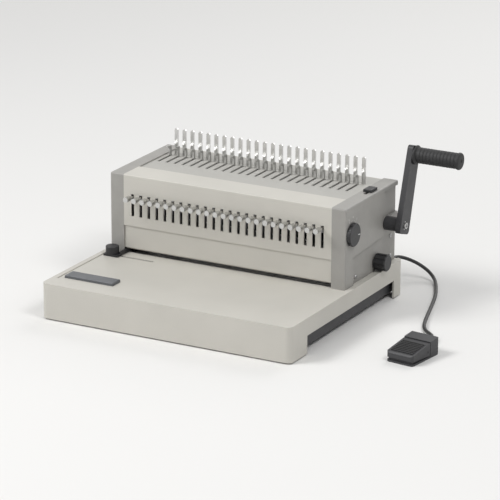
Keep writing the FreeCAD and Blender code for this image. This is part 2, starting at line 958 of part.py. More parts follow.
bushes = []
for side, word in ((-1, "left"), (1, "right")):
    for shaft in ("punch", "opener") if side < 0 else ("punch", "opener", "drive"):
        inner = {
            "punch": d.punch_shaft_radius,
            "drive": d.drive_shaft_radius,
            "opener": d.opener_shaft_radius,
        }[shaft]
        spot = shaft_spots[shaft]
        span = sided(side, plate_inner - 0.5, plate_outer + 0.5)
        sleeve = rod(f"{word}_{shaft}_sleeve", "x", spot, bush_radius[shaft], span)
        hollow = rod(f"{word}_{shaft}_hollow", "x", spot, inner + d.running_gap, wider(span, 1))
        bushes.append(cut(f"{word}_{shaft}_bush", sleeve, hollow))
piece("shaft_bushes", group("bushes", bushes))

# Punch shaft: two pinions that work the racks and the gear that drives them

big_gear_x = (d.big_gear_x, d.big_gear_x + d.gear_width)
mesh_angle = math.atan2(-SIZES["drive_drop"], math.sqrt(centres.number**2 - SIZES["drive_drop"] ** 2))
punch_shaft = fuse(
    "punch_shaft_solid",
    rod("punch_shaft_rod", "x", shaft_spots["punch"], d.punch_shaft_radius, (-plate_outer, plate_outer)),
    wheel("right_ram_pinion", d.ram_pinion_teeth, d.gear_width, rack_x[0], shaft_spots["punch"], math.pi),
    wheel("left_ram_pinion", d.ram_pinion_teeth, d.gear_width, -rack_x[1], shaft_spots["punch"], math.pi),
    wheel("big_gear", d.big_gear_teeth, d.gear_width, big_gear_x[0], shaft_spots["punch"], mesh_angle),
)
piece("punch_shaft", punch_shaft)

# Drive shaft from the geared motor, with a knob outside to turn it by hand after a jam

knob_start = d.head_half - d.side_step + 1.5
drive_tip = d.gearbox_face - 20
space_angle = mesh_angle + math.pi + math.pi / SIZES["small_gear_teeth"]
drive_shaft = fuse(
    "drive_shaft_solid",
    rod("drive_shaft_rod", "x", shaft_spots["drive"], d.drive_shaft_radius, (drive_tip, knob_start + 12)),
    wheel("small_gear", d.small_gear_teeth, d.gear_width, big_gear_x[0], shaft_spots["drive"], space_angle),
)
piece("drive_shaft", drive_shaft)

knob = Body("knob")
knob.revolve(
    "x",
    [
        (Size.of(0), d.drive_shaft_radius + 0.02),
        (Size.of(0), d.knob_radius - 1),
        (Size.of(1), d.knob_radius),
        (d.knob_length - 1.5, d.knob_radius),
        (d.knob_length, d.knob_radius - 1.5),
        (d.knob_length, 0),
        (Size.of(12.5), 0),
        (Size.of(12.5), d.drive_shaft_radius + 0.02),
    ],
)
flute = knob.pocket(
    "x",
    (Size.of(-1), d.knob_length + 1),
    [
        (d.knob_radius - 1.2, -1.0),
        (d.knob_radius + 1, -1.6),
        (d.knob_radius + 1, 1.6),
        (d.knob_radius - 1.2, 1.0),
    ],
)
knob.ring(flute, "x", d.knob_flutes)
piece("jam_knob", knob, x=knob_start, y=drive_y, z=drive_z)

gearbox_x = (d.gearbox_face - d.gearbox_length, d.gearbox_face)
motor_end = gearbox_x[0] - d.motor_length
gearbox_y = around(drive_y, d.gearbox_size)
gearbox_z = around(drive_z, d.gearbox_size)
motor = cut(
    "motor",
    fuse(
        "motor_solid",
        block("gearbox", gearbox_x, gearbox_y, gearbox_z),
        rod("motor_can", "x", shaft_spots["drive"], d.motor_radius, (motor_end, gearbox_x[0])),
        rod("motor_nose", "x", shaft_spots["drive"], d.motor_radius / 3, (motor_end - 5, gearbox_x[0])),
        block(
            "motor_bracket",
            (d.gearbox_face - 4, d.gearbox_face),
            wider((d.works_front, d.works_back), 6),
            (deck, deck + 30),
        ),
    ),
    rod(
        "motor_socket",
        "x",
        shaft_spots["drive"],
        d.drive_shaft_radius + d.running_gap,
        (drive_tip - 0.5, d.gearbox_face + 1),
    ),
)
piece("gear_motor", motor)

# Covers of the head


def end_cover(side, word):
    """A moulded end: front column, side and top, with a lower wall set in behind the leg."""
    wall = d.cover_wall
    outer = d.head_half
    step = outer - d.side_step
    back = d.head_back
    leg_back = d.head_front + d.leg_depth
    slope_end = d.leg_height + d.cover_slope
    upper = prism(
        f"{word}_upper",
        "x",
        [
            (d.head_front, deck),
            (leg_back, deck),
            (leg_back, d.leg_height),
            (back, slope_end),
            (back, d.head_top),
            (d.head_front, d.head_top),
        ],
        sided(side, column_inner, outer),
    )
    doc.recompute()

    def outer_edge(edge):
        middle = edge.CenterOfMass
        on_front = abs(middle.y - d.head_front.number) < 0.01
        on_top = abs(middle.z - d.head_top.number) < 0.01
        on_side = abs(abs(middle.x) - outer.number) < 0.01
        return (on_front and (on_side or on_top)) or (on_top and on_side)

    soft = rounded(f"{word}_soft", upper, d.cover_radius, outer_edge)
    lower = block(
        f"{word}_lower",
        sided(side, column_inner, step),
        (leg_back - wall, back),
        (deck, slope_end + wall),
    )
    hollow = block(
        f"{word}_hollow",
        sided(side, column_inner - 1, step - wall),
        (d.head_front + wall, back + 1),
        (deck - 1, strip_low),
    )
    deep = prism(
        f"{word}_deep_hollow",
        "x",
        [
            (d.head_front + wall, deck - 1),
            (leg_back - wall, deck - 1),
            (leg_back - wall, d.leg_height + wall),
            (back - wall, slope_end + wall),
            (back - wall, d.notch_low - wall),
            (d.notch_front - wall, d.notch_low - wall),
            (d.notch_front - wall, d.notch_high + wall),
            (back - wall, d.notch_high + wall),
            (back - wall, strip_low),
            (d.head_front + wall, strip_low),
        ],
        sided(side, step - wall - 1, outer - wall),
    )
    notch = block(
        f"{word}_notch",
        sided(side, step, outer + 1),
        (d.notch_front, back + 1),
        (d.notch_low, d.notch_high),
    )
    tools = [hollow, deep, notch]
    if side > 0:
        through = (step - wall - 1, outer + 1)
        tools.append(rod("dial_hole", "x", (d.dial_y, d.dial_z), d.dial_spindle + d.running_gap, through))
        tools.append(rod("lever_hole", "x", shaft_spots["opener"], d.opener_shaft_radius + 0.6, through))
        tools.append(rod("knob_hole", "x", shaft_spots["drive"], d.drive_shaft_radius + 0.6, through))
        limiter_run = (
            d.limiter_y - d.limiter_forward - d.limiter_slot / 2 - 0.5,
            d.limiter_y + d.limiter_back + d.limiter_slot / 2 + 0.5,
        )
        tools.append(
            block(
                "limiter_slot",
                around(limiter_x, d.limiter_slot),
                limiter_run,
                (strip_low - 1, d.head_top + 1),
            )
        )
    return cut(f"{word}_cover", fuse(f"{word}_mass", soft, lower), *tools)


piece("left_end_cover", end_cover(-1, "left"))
piece("right_end_cover", end_cover(1, "right"))

front = Body("front")
front_wall = d.head_front + d.cover_wall
strip_back = d.head_front + d.top_strip
front.pad(
    "x",
    (-column_inner, column_inner),
    [
        (d.head_front, d.guide_top),
        (front_wall, d.guide_top),
        (front_wall, strip_low),
        (strip_back, strip_low),
        (strip_back, d.head_top),
        (d.head_front, d.head_top),
    ],
)


def front_top_edge(edge):
    middle = edge.CenterOfMass
    at_front = abs(middle.y - d.head_front.number) < 0.01
    at_top = abs(middle.z - d.head_top.number) < 0.01
    return runs_along(edge, "x") and at_front and at_top


front.soften("Fillet", d.cover_radius - 0.5, front_top_edge)
pin_slot = front.pocket(
    "y",
    (d.head_front - 1, front_wall + 1),
    corners_of(
        around(first_hole, d.pin_slot_width),
        (d.pin_height - d.stroke - d.pin_slot_under, d.pin_height + d.pin_slot_over),
    ),
)
front.row(pin_slot, "x", d.hole_pitch, d.hole_count)
piece("front_cover", front)

hook_first = first_hole - d.hole_pitch / 2
comb_slot_y = (
    carriage_y[1] - d.hook_shank - opener_travel - d.comb_slot_spare,
    carriage_y[1] + d.comb_slot_spare,
)
top = Body("top")
top.pad(
    "z",
    (plate_top, strip_low),
    corners_of((-plate_outer, plate_outer), (d.top_plate_front, plate_back)),
)
comb_slot = top.pocket(
    "z",
    (plate_top - 1, strip_low + 1),
    corners_of(around(hook_first, d.comb_slot_width), comb_slot_y),
)
top.row(comb_slot, "x", d.hole_pitch, d.hole_count)
piece("top_plate", top)

bars = []
for number in range(SIZES["hole_count"]):
    bars.append(
        block(
            f"tine_{number}",
            around(hole_x(number), d.tine_width),
            (d.tine_row, d.tine_row + d.tine_thick),
            (strip_low, strip_low + d.tine_height),
        )
    )
tine_top = (strip_low + d.tine_height).number


def tine_tip(edge):
    middle = edge.CenterOfMass
    return runs_along(edge, "y") and abs(middle.z - tine_top) < 0.01


blunt = fuse("tine_bars", *bars)
doc.recompute()
tips = doc.addObject("Part::Chamfer", "tine_tips")
tips.Base = blunt
tips.Edges = [(number, 1.8, 1.8) for number in edge_numbers(blunt.Shape, tine_tip)]
piece("comb_tines", tips)

inlet_x = around(d.inlet_x, d.inlet_width)
inlet_z = around(d.inlet_z, d.inlet_height)
switch_x = around(d.switch_x, d.switch_width)
switch_z = around(d.inlet_z, d.switch_height)
back_in = d.head_back - d.cover_wall
rear_half = d.head_half - d.side_step - d.cover_wall
rear = Body("rear")
rear.pad("y", (back_in, d.head_back), corners_of((-rear_half, rear_half), (deck, strip_low)))
rear.pocket(
    "y",
    (back_in - 1, d.head_back + 1),
    corners_of(wider(inlet_x, 2), wider(inlet_z, 2)),
    corners_of(wider(switch_x, 2), wider(switch_z, 2)),
)
vent = rear.pocket(
    "y",
    (back_in - 1, d.head_back + 1),
    corners_of(around(Size.of(30), d.vent_width), around(d.inlet_z, d.vent_length)),
)
rear.row(vent, "x", d.vent_pitch, d.vent_count)
piece("rear_cover", rear)

# Mains inlet with its rim, and the rocker switch beside it in the same frame

rim_x = (inlet_x[0] - d.inlet_rim, switch_x[1] + d.inlet_rim)
rim_y = (d.head_back, d.head_back + 2)
case_y = (back_in - 22, d.head_back)
inlet = cut(
    "inlet",
    fuse(
        "inlet_solid",
        block("inlet_rim", rim_x, rim_y, wider(switch_z, d.inlet_rim)),
        block("inlet_case", wider(inlet_x, 1.8), case_y, wider(inlet_z, 1.8)),
        block("switch_case", wider(switch_x, 1.8), case_y, wider(switch_z, 1.8)),
    ),
    block("inlet_socket", inlet_x, (d.head_back + 2 - d.inlet_depth, d.head_back + 3), inlet_z),
    block("switch_socket", switch_x, (d.head_back - 10, d.head_back + 3), switch_z),
)
piece("power_inlet", inlet)

rocker_x = wider(switch_x, -0.5)
rocker_reach = d.switch_height / 2 - 1.6
rocker = prism(
    "rocker",
    "x",
    [
        (Size.of(-3.5), -rocker_reach + 2),
        (Size.of(3.2), -rocker_reach),
        (Size.of(5.2), Size.of(-0.4)),
        (Size.of(8.0), rocker_reach - 1.2),
        (Size.of(-3.5), rocker_reach - 3.5),
    ],
    rocker_x,
)
piece("power_rocker", group("rocker_piece", [rocker]), y=d.head_back - 1.5, z=d.inlet_z)

board_x = (d.board_left, d.board_left + d.board_width)
board_z = (deck + 8, deck + 8 + d.board_height)
board_y = (back_in - 12, back_in - 10.4)
board_front = board_y[0]
board_parts = [block("board", board_x, board_y, board_z)]
for x in wider(board_x, -4):
    for z in wider(board_z, -4):
        label = f"standoff_{len(board_parts)}"
        board_parts.append(rod(label, "y", (x, z), Size.of(3), (board_y[1], back_in)))
coil_x = (board_x[0] + 8, board_x[0] + 38)
coil_z = (board_z[1] - 30, board_z[1] - 2)
board_parts.append(block("transformer", coil_x, (board_front - 14, board_front), coil_z))
relay_x = (board_x[0] + 46, board_x[0] + 64)
relay_z = (board_z[1] - 26, board_z[1] - 4)
board_parts.append(block("relay", relay_x, (board_front - 10, board_front), relay_z))
piece("control_board", fuse("board_solid", *board_parts))

# Comb opener: shaft with two pinions, and the carriage with racks and hooks above it

opener_x = (d.opener_pinion_x, d.opener_pinion_x + d.gear_width)
opener_spot = shaft_spots["opener"]
opener_shaft = fuse(
    "opener_shaft_solid",
    rod("opener_rod", "x", shaft_spots["opener"], d.opener_shaft_radius, (-plate_outer, arm_end - 1)),
    wheel("right_opener_pinion", d.lever_teeth, d.gear_width, opener_x[0], opener_spot, math.pi / 2),
    wheel("left_opener_pinion", d.lever_teeth, d.gear_width, -opener_x[1], opener_spot, math.pi / 2),
)
piece("opener_shaft", opener_shaft)

carriage = Body("carriage")
carriage.pad("z", (d.carriage_low, d.carriage_high), corners_of((-ram_x, ram_x), carriage_y))
carriage.pad(
    "z",
    (d.carriage_low + 1, d.carriage_high - 1),
    corners_of((-tongue_x, tongue_x), wider(carriage_y, -1)),
)
pitch_z = d.lever_z + opener_radius
opener_root = pitch_z + d.tooth_module * DEDENDUM
opener_teeth = 6
for side in (-1, 1):
    span = sided(side, opener_x[0], opener_x[1])
    rack_y = (d.lever_y - circular, d.lever_y + opener_travel + 3.5)
    carriage.pad("z", (opener_root, d.carriage_low + 1), corners_of(span, rack_y))
    front_tooth = d.lever_y - circular / 2
    outline = rack_tooth(0, 0, -1)
    tooth = carriage.pad("x", span, [(front_tooth + along, pitch_z + up) for along, up in outline])
    carriage.row(tooth, "y", circular, Size.of(opener_teeth))
hook_back = carriage_y[1]
hook_front = hook_back - d.hook_shank
hook_top = strip_low + d.hook_rise
hooks = []
for number in range(SIZES["hole_count"]):
    hooks.append(
        prism(
            f"hook_{number}",
            "x",
            [
                (hook_back, d.carriage_high),
                (hook_back, hook_top - 2),
                (hook_back - 2, hook_top),
                (hook_front - d.hook_nose, hook_top + 2),
                (hook_front - d.hook_nose, hook_top - 1),
                (hook_front, hook_top - 4.5),
                (hook_front, d.carriage_high),
            ],
            around(hook_first + d.hole_pitch * number, d.hook_thick),
        )
    )
piece("hook_carriage", group("carriage_and_hooks", [carriage.body] + hooks))

# Lever: a tapered arm with its hub, and a ringed grip

lean_axis = FreeCAD.Vector(-1, 0, 0)
arm = Body("arm")
head_half_width = d.arm_head_width / 2
foot_half_width = d.arm_foot_width / 2
arm.pad(
    "x",
    (d.arm_start, arm_end),
    [
        (-foot_half_width, -d.arm_foot),
        (foot_half_width, -d.arm_foot),
        (head_half_width, d.lever_length + d.arm_head),
        (-head_half_width, d.lever_length + d.arm_head),
    ],
)


def arm_corner(edge):
    return runs_along(edge, "x")


arm.soften("Fillet", Size.of(6), arm_corner)
arm.disc("x", (d.head_half + 0.6, d.arm_start), (0, 0), d.hub_radius)
arm.bore("x", (d.head_half - 1, arm_end + 1), (0, 0), d.opener_shaft_radius + 0.02)
piece("lever_arm", arm, y=d.lever_y, z=d.lever_z, axis=lean_axis, angle=d.lever_lean)

grip = Body("grip")
ring_span = d.grip_length - 12
outline = [
    (arm_end, 0),
    (arm_end, d.grip_flange),
    (arm_end + 3, d.grip_flange),
    (arm_end + 4.5, d.grip_radius - 1),
]
for number in range(SIZES["grip_rings"]):
    ring_start = arm_end + 6 + ring_span / d.grip_rings * number
    ring_end = arm_end + 6 + ring_span / d.grip_rings * (number + 0.6)
    outline += [(ring_start, d.grip_radius - 1), (ring_start, d.grip_radius)]
    outline += [(ring_end, d.grip_radius), (ring_end, d.grip_radius - 1)]
outline += [
    (grip_end - 5, d.grip_radius - 1),
    (grip_end - 4, d.grip_radius + 1),
    (grip_end, d.grip_radius - 0.5),
    (grip_end, 0),
]
grip.revolve("x", outline)
piece(
    "lever_grip",
    grip,
    y=d.lever_y + d.lever_length * sine(d.lever_lean),
    z=d.lever_z + d.lever_length * cosine(d.lever_lean),
)

# Depth dial with its spiral cam, and the paper stop that the cam places

dial_x = (d.head_half + 0.6, d.head_half + 0.6 + d.dial_thick)
cam_x = (plate_outer + 2, plate_outer + 7)
dial = Body("dial")
dial.disc("x", (cam_x[0], dial_x[0]), (0, 0), d.dial_spindle)
dial.disc("x", dial_x, (0, 0), d.dial_radius)


def dial_rim(edge):
    at_face = abs(edge.CenterOfMass.x - dial_x[1].number) < 0.01
    return at_face and edge.Curve.TypeId == "Part::GeomCircle"


dial.soften("Chamfer", Size.of(1), dial_rim)
dial_flute = dial.pocket(
    "x",
    (dial_x[0] - 0.2, dial_x[1] + 1),
    [
        (d.dial_radius - 0.9, -0.7),
        (d.dial_radius + 1, -1.2),
        (d.dial_radius + 1, 1.2),
        (d.dial_radius - 0.9, 0.7),
    ],
)
dial.ring(dial_flute, "x", d.dial_flutes)
cam_outline = []
cam_steps = 12
for step in range(cam_steps + 1):
    share = step / cam_steps
    angle = -math.radians(SIZES["dial_turn"] * (1.1 * share - 0.05))
    reach = SIZES["cam_radius"] - SIZES["stop_travel"] * (1.1 * share - 0.05)
    cam_outline.append((reach * math.cos(angle), reach * math.sin(angle)))
cam_low = SIZES["cam_radius"] - SIZES["stop_travel"] - 1
for turned in (-160, -200, -240, -280, -320, -345):
    angle = math.radians(turned)
    cam_outline.append((cam_low * 0.8 * math.cos(angle), cam_low * 0.8 * math.sin(angle)))
dial.pad("x", cam_x, cam_outline)
piece("depth_dial", dial, y=d.dial_y, z=d.dial_z)

stop_z = (deck + d.slide_gap, deck + d.slide_gap + d.stop_height - 0.3)
stop_y = (stop_face, stop_face + d.stop_depth)
arm_x = (cam_x[0] - 0.5, cam_x[1] + 0.5)
follower_y = d.dial_y + d.cam_radius + d.cam_gap
paper_stop = fuse(
    "stop_solid",
    block("stop_bar", (-column_inner + 6, arm_x[1]), stop_y, stop_z),
    block("stop_post", arm_x, (stop_face + 3, follower_y + 6), (stop_z[0], d.dial_z + 10)),
)
relief_z = (stop_z[1] + 20, d.dial_z + 11)
stop_clear = block("stop_relief", wider(arm_x, 1), (stop_face + 2, follower_y), relief_z)
piece("paper_stop", cut("stop_cut", paper_stop, stop_clear))

# Edge guide with its clamp knob, the hand switch bar and the opening limiter

plate_z = (deck + d.slide_gap, deck + d.slide_gap + 3)
guide_left = d.guide_x - d.guide_knob_radius
fin_x = (d.guide_face - 3.5, d.guide_face)
knob_z = (plate_z[1], plate_z[1] + d.guide_knob_height)
edge = fuse(
    "edge_solid",
    block("edge_plate", (guide_left, d.guide_face), around(d.guide_y, 2 * d.guide_knob_radius - 1), plate_z),
    block("edge_fin", fin_x, (d.guide_y, d.punch_row - 5), (plate_z[0], deck + d.throat - 1)),
    rod("edge_knob", "z", (d.guide_x, d.guide_y), d.guide_knob_radius, knob_z),
    rod("edge_stem", "z", (d.guide_x, d.guide_y), d.guide_slot / 2 - 0.2, (under_deck - 2, plate_z[0])),
    block(
        "edge_nut",
        around(d.guide_x, Size.of(9)),
        around(d.guide_y, Size.of(14)),
        (under_deck - 4, under_deck - 0.4),
    ),
)
doc.recompute()


def knob_rim(item):
    circle = item.Curve.TypeId == "Part::GeomCircle"
    return circle and abs(item.CenterOfMass.z - (plate_z[1] + d.guide_knob_height).number) < 0.01


piece("edge_guide", rounded("edge_soft", edge, Size.of(1.5), knob_rim))

bar = Body("bar")
bar_top = deck + d.bar_rise
bar_low = under_deck - d.bar_travel - 4
bar.pad("z", (bar_low, bar_top), corners_of(bar_x, bar_y))


def bar_top_edge(edge):
    return abs(edge.CenterOfMass.z - bar_top.number) < 0.01


bar.soften("Fillet", Size.of(1.5), bar_top_edge)
bar.pad("z", (bar_low, under_deck - 0.4), corners_of(wider(bar_x, 2.5), wider(bar_y, 2.5)))
piece("hand_bar", bar)

limiter_z = d.head_top + d.slide_gap
limiter = Body("limiter")
limiter.pad(
    "z",
    (limiter_z, limiter_z + 4.5),
    corners_of(around(limiter_x, d.limiter_size), around(d.limiter_y, d.limiter_length)),
)


def limiter_top_edge(edge):
    return abs(edge.CenterOfMass.z - (limiter_z.number + 4.5)) < 0.01


limiter.soften("Fillet", Size.of(1.2), limiter_top_edge)
stem = d.limiter_slot - 0.5
limiter.pad(
    "z",
    (strip_low - 3, limiter_z),
    corners_of(around(limiter_x, stem), around(d.limiter_y, stem)),
)
nut_x = (plate_outer + 0.6, limiter_x + 4)
limiter.pad("z", (strip_low - 4, strip_low - 0.3), corners_of(nut_x, around(d.limiter_y, Size.of(14))))
piece("opening_limiter", limiter)

# Foot pedal: a base with a raised back, and the treadle hinged in front of that

turned_back = FreeCAD.Vector(0, 0, -1)
half_w = d.pedal_width / 2
half_l = d.pedal_length / 2
inner_w = half_w - d.pedal_wall - 0.6
inner_l = half_l - d.pedal_wall - 0.8
pivot_y = d.treadle_end - d.pedal_pivot_inset
treadle_drop = (half_l + pivot_y) * sine(d.pedal_press)


def pedal_top(place):
    """The height of the pedal's sloping top at a place along it."""
    rise = d.pedal_back_height - d.pedal_front_height
    return d.pedal_front_height + rise * ((place + half_l) / d.pedal_length)


def pedal_corner_edge(edge):
    middle = edge.CenterOfMass
    at_side = abs(abs(middle.x) - half_w.number) < 0.01
    at_end = abs(abs(middle.y) - half_l.number) < 0.01
    return runs_along(edge, "z") and at_side and at_end


foot_base = Body("foot_base")
foot_base.pad("z", (Size.of(0), d.pedal_sole), corners_of((-half_w, half_w), (-half_l, half_l)))
housing_front = d.treadle_end + 1.2
foot_base.pad(
    "x",
    (-half_w, half_w),
    [
        (housing_front, d.pedal_sole - 0.5),
        (half_l, d.pedal_sole - 0.5),
        (half_l, d.pedal_back_height - 3),
        (half_l - 3, d.pedal_back_height),
        (housing_front, pedal_top(housing_front) + 1.5),
    ],
)
foot_base.soften("Fillet", d.pedal_corner, pedal_corner_edge)
inner_top = d.pedal_sole + 4.5
foot_base.pad(
    "z",
    (d.pedal_sole - 0.5, inner_top),
    corners_of((-inner_w, inner_w), (-inner_l, d.treadle_end - 3)),
)
for side in (-1, 1):
    foot_base.pad(
        "z",
        (d.pedal_sole, d.pedal_pivot_z + 3.5),
        corners_of(sided(side, inner_w - 4, inner_w), around(pivot_y, Size.of(6))),
    )
foot_base.disc("x", (-half_w + 0.8, half_w - 0.8), (pivot_y, d.pedal_pivot_z), d.pedal_pin)
relief_y = (half_l, half_l + d.relief_length)
foot_base.disc("y", relief_y, (d.relief_x, d.relief_z), d.cord_radius + 1.5)
piece("pedal_base", foot_base, x=d.pedal_x, y=d.pedal_y, axis=turned_back, angle=d.pedal_turn)

treadle = Body("treadle")
treadle.pad(
    "x",
    (-half_w, half_w),
    [
        (-half_l, d.pedal_sole + 0.6 + treadle_drop),
        (d.treadle_end, d.pedal_sole + 0.8),
        (d.treadle_end, pedal_top(d.treadle_end)),
        (-half_l + 2, d.pedal_front_height),
        (-half_l, d.pedal_front_height - 2),
    ],
)
treadle.soften("Fillet", d.pedal_corner, pedal_corner_edge)
treadle.pocket(
    "x",
    wider((-half_w, half_w), -d.pedal_wall),
    [
        (-half_l + d.pedal_wall, d.pedal_sole - 1),
        (d.treadle_end - d.pedal_wall, d.pedal_sole - 1),
        (d.treadle_end - d.pedal_wall, pedal_top(d.treadle_end) - 3),
        (-half_l + d.pedal_wall, d.pedal_front_height - 3),
    ],
)
tread_start = -half_l + 6
tread = [(tread_start, pedal_top(tread_start) - 1)]
for number in range(SIZES["tread_ribs"]):
    rib_start = tread_start + d.tread_pitch * number
    rib_end = rib_start + d.tread_rib
    for place, rise in ((rib_start, 0), (rib_start, 0.9), (rib_end, 0.9), (rib_end, 0)):
        tread.append((place, pedal_top(place) + rise))
tread.append((rib_end, pedal_top(rib_end) - 1))
treadle.pad("x", wider((-half_w, half_w), -4), tread)
treadle.bore("x", (-half_w - 1, half_w + 1), (pivot_y, d.pedal_pivot_z), d.pedal_pin + 0.06)
piece("pedal_treadle", treadle, x=d.pedal_x, y=d.pedal_y, axis=turned_back, angle=d.pedal_turn)

# Pedal cord: its route's points are chosen by hand

CORD_ROUTE = [
    (178.0, 394.0, 42.0),
    (178.0, 408.0, 42.0),
    (180.0, 422.0, 40.0),
    (187.0, 437.0, 34.0),
    (200.0, 449.0, 25.0),
    (217.0, 451.0, 15.5),
    (232.0, 443.0, 8.0),
    (243.0, 427.0, 4.0),
    (253.0, 407.0, 3.2),
    (266.0, 378.0, 3.2),
    (278.0, 342.0, 3.2),
    (290.0, 304.0, 3.2),
    (300.0, 272.0, 3.2),
    (309.0, 246.0, 3.2),
    (321.0, 225.0, 3.4),
    (336.0, 209.5, 5.4),
    (346.6, 197.0, 7.2),
    (350.9, 183.5, 8.0),
    (349.0, 168.5, 8.0),
]


def cord_wire(points):
    """Straight runs joined by arcs as large as the two runs beside each point allow."""
    spots = [FreeCAD.Vector(*point) for point in points]
    edges = []
    start = spots[0]
    radii = []
    for before, here, after in zip(spots, spots[1:], spots[2:]):
        back = (before - here).normalize()
        onward = (after - here).normalize()
        bend = math.pi - back.getAngle(onward)
        shorter = min((before - here).Length, (after - here).Length)
        trim = 0.45 * shorter
        radii.append(trim / math.tan(bend / 2))
        enter = here + back * trim
        leave = here + onward * trim
        inward = (back + onward).normalize()
        radius = radii[-1]
        middle = here + inward * (radius / math.cos(bend / 2) - radius)
        edges.append(Part.LineSegment(start, enter).toShape())
        edges.append(Part.Arc(enter, middle, leave).toShape())
        start = leave
    edges.append(Part.LineSegment(start, spots[-1]).toShape())
    return Part.Wire(edges), radii


CORD_SIDES = 8


def cord_tube(points, radius):
    """A tube with flat sides and the section of a round cord. It starts along the y axis."""
    wire, radii = cord_wire(points)
    first = FreeCAD.Vector(*points[0])
    sector = 2 * math.pi / CORD_SIDES
    reach = radius * math.sqrt(sector / math.sin(sector))
    ring = []
    for step in range(CORD_SIDES + 1):
        angle = sector * (step + 0.5)
        ring.append(first + FreeCAD.Vector(reach * math.cos(angle), 0, reach * math.sin(angle)))
    tube = wire.makePipeShell([Part.makePolygon(ring)], True, False)
    expected = wire.Length * math.pi * radius**2
    print("cord length", round(wire.Length, 1), "radii", [round(value, 1) for value in radii])
    print("cord volume", round(tube.Volume, 1), "expected", round(expected, 1))
    return tube


cord = doc.addObject("Part::Feature", "cord")
cord.Shape = cord_tube(CORD_ROUTE, SIZES["cord_radius"])
piece("pedal_cord", cord)

gland_spot = (d.gland_x, d.gland_z)
gland_y = (d.base_depth, d.base_depth + d.gland_length)
gland_radii = (d.cord_radius + 2.5, d.cord_radius + 1)
gland = fuse(
    "gland",
    rod("gland_flange", "y", gland_spot, d.cord_radius + 5, (gland_y[0], gland_y[0] + 3)),
    cone("gland_taper", "y", gland_spot, gland_radii, gland_y),
)
piece("cord_gland", gland)

doc.recompute()

broken = [item.Name for item in doc.Objects if {"Invalid", "Error"} & set(item.State)]
for name, made in PIECES.items():
    if made.Shape.isNull() or not made.Shape.isValid() or not made.Shape.Solids:
        broken.append(name)
if broken:
    raise RuntimeError("failed objects: " + ", ".join(broken))

os.makedirs("parts", exist_ok=True)
for name, made in PIECES.items():
    made.Shape.exportStep(os.path.join("parts", name + ".step"))
print(len(PIECES), "pieces, origin", origin_x.number, origin_y.number)
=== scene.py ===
import math

import bmesh
import bpy
from mathutils import Matrix, Vector


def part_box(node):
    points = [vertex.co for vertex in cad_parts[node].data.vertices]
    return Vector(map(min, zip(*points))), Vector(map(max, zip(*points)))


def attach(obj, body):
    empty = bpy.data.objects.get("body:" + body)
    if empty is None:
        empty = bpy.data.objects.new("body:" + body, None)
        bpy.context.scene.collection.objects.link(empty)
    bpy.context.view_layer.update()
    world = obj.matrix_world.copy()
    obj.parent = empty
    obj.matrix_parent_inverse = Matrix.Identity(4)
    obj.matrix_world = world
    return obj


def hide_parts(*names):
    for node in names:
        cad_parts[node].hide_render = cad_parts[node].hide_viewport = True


# Electric comb binding machine: finishes, cord, small fasteners and studio. Lengths are written in
# millimetres in the machine's own numbers: x is 0 on its centre plane, y is 0 at the front of its
# base and z is 0 on the table.

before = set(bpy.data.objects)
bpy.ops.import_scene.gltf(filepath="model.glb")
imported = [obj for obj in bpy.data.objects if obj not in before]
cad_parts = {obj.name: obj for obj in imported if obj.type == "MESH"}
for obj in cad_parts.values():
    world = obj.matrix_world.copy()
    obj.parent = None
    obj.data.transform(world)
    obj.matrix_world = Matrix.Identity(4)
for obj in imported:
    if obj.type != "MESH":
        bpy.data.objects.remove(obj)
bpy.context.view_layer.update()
shell_low, shell_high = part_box("base_shell")
centre_x = (shell_low.x + shell_high.x) / 2
front_y = shell_low.y
MM = 0.001


def spot(x, y, z):
    """A place in the machine's own numbers, in the frame's metres."""
    return Vector((centre_x + x * MM, front_y + y * MM, z * MM))


# Materials

materials = {}


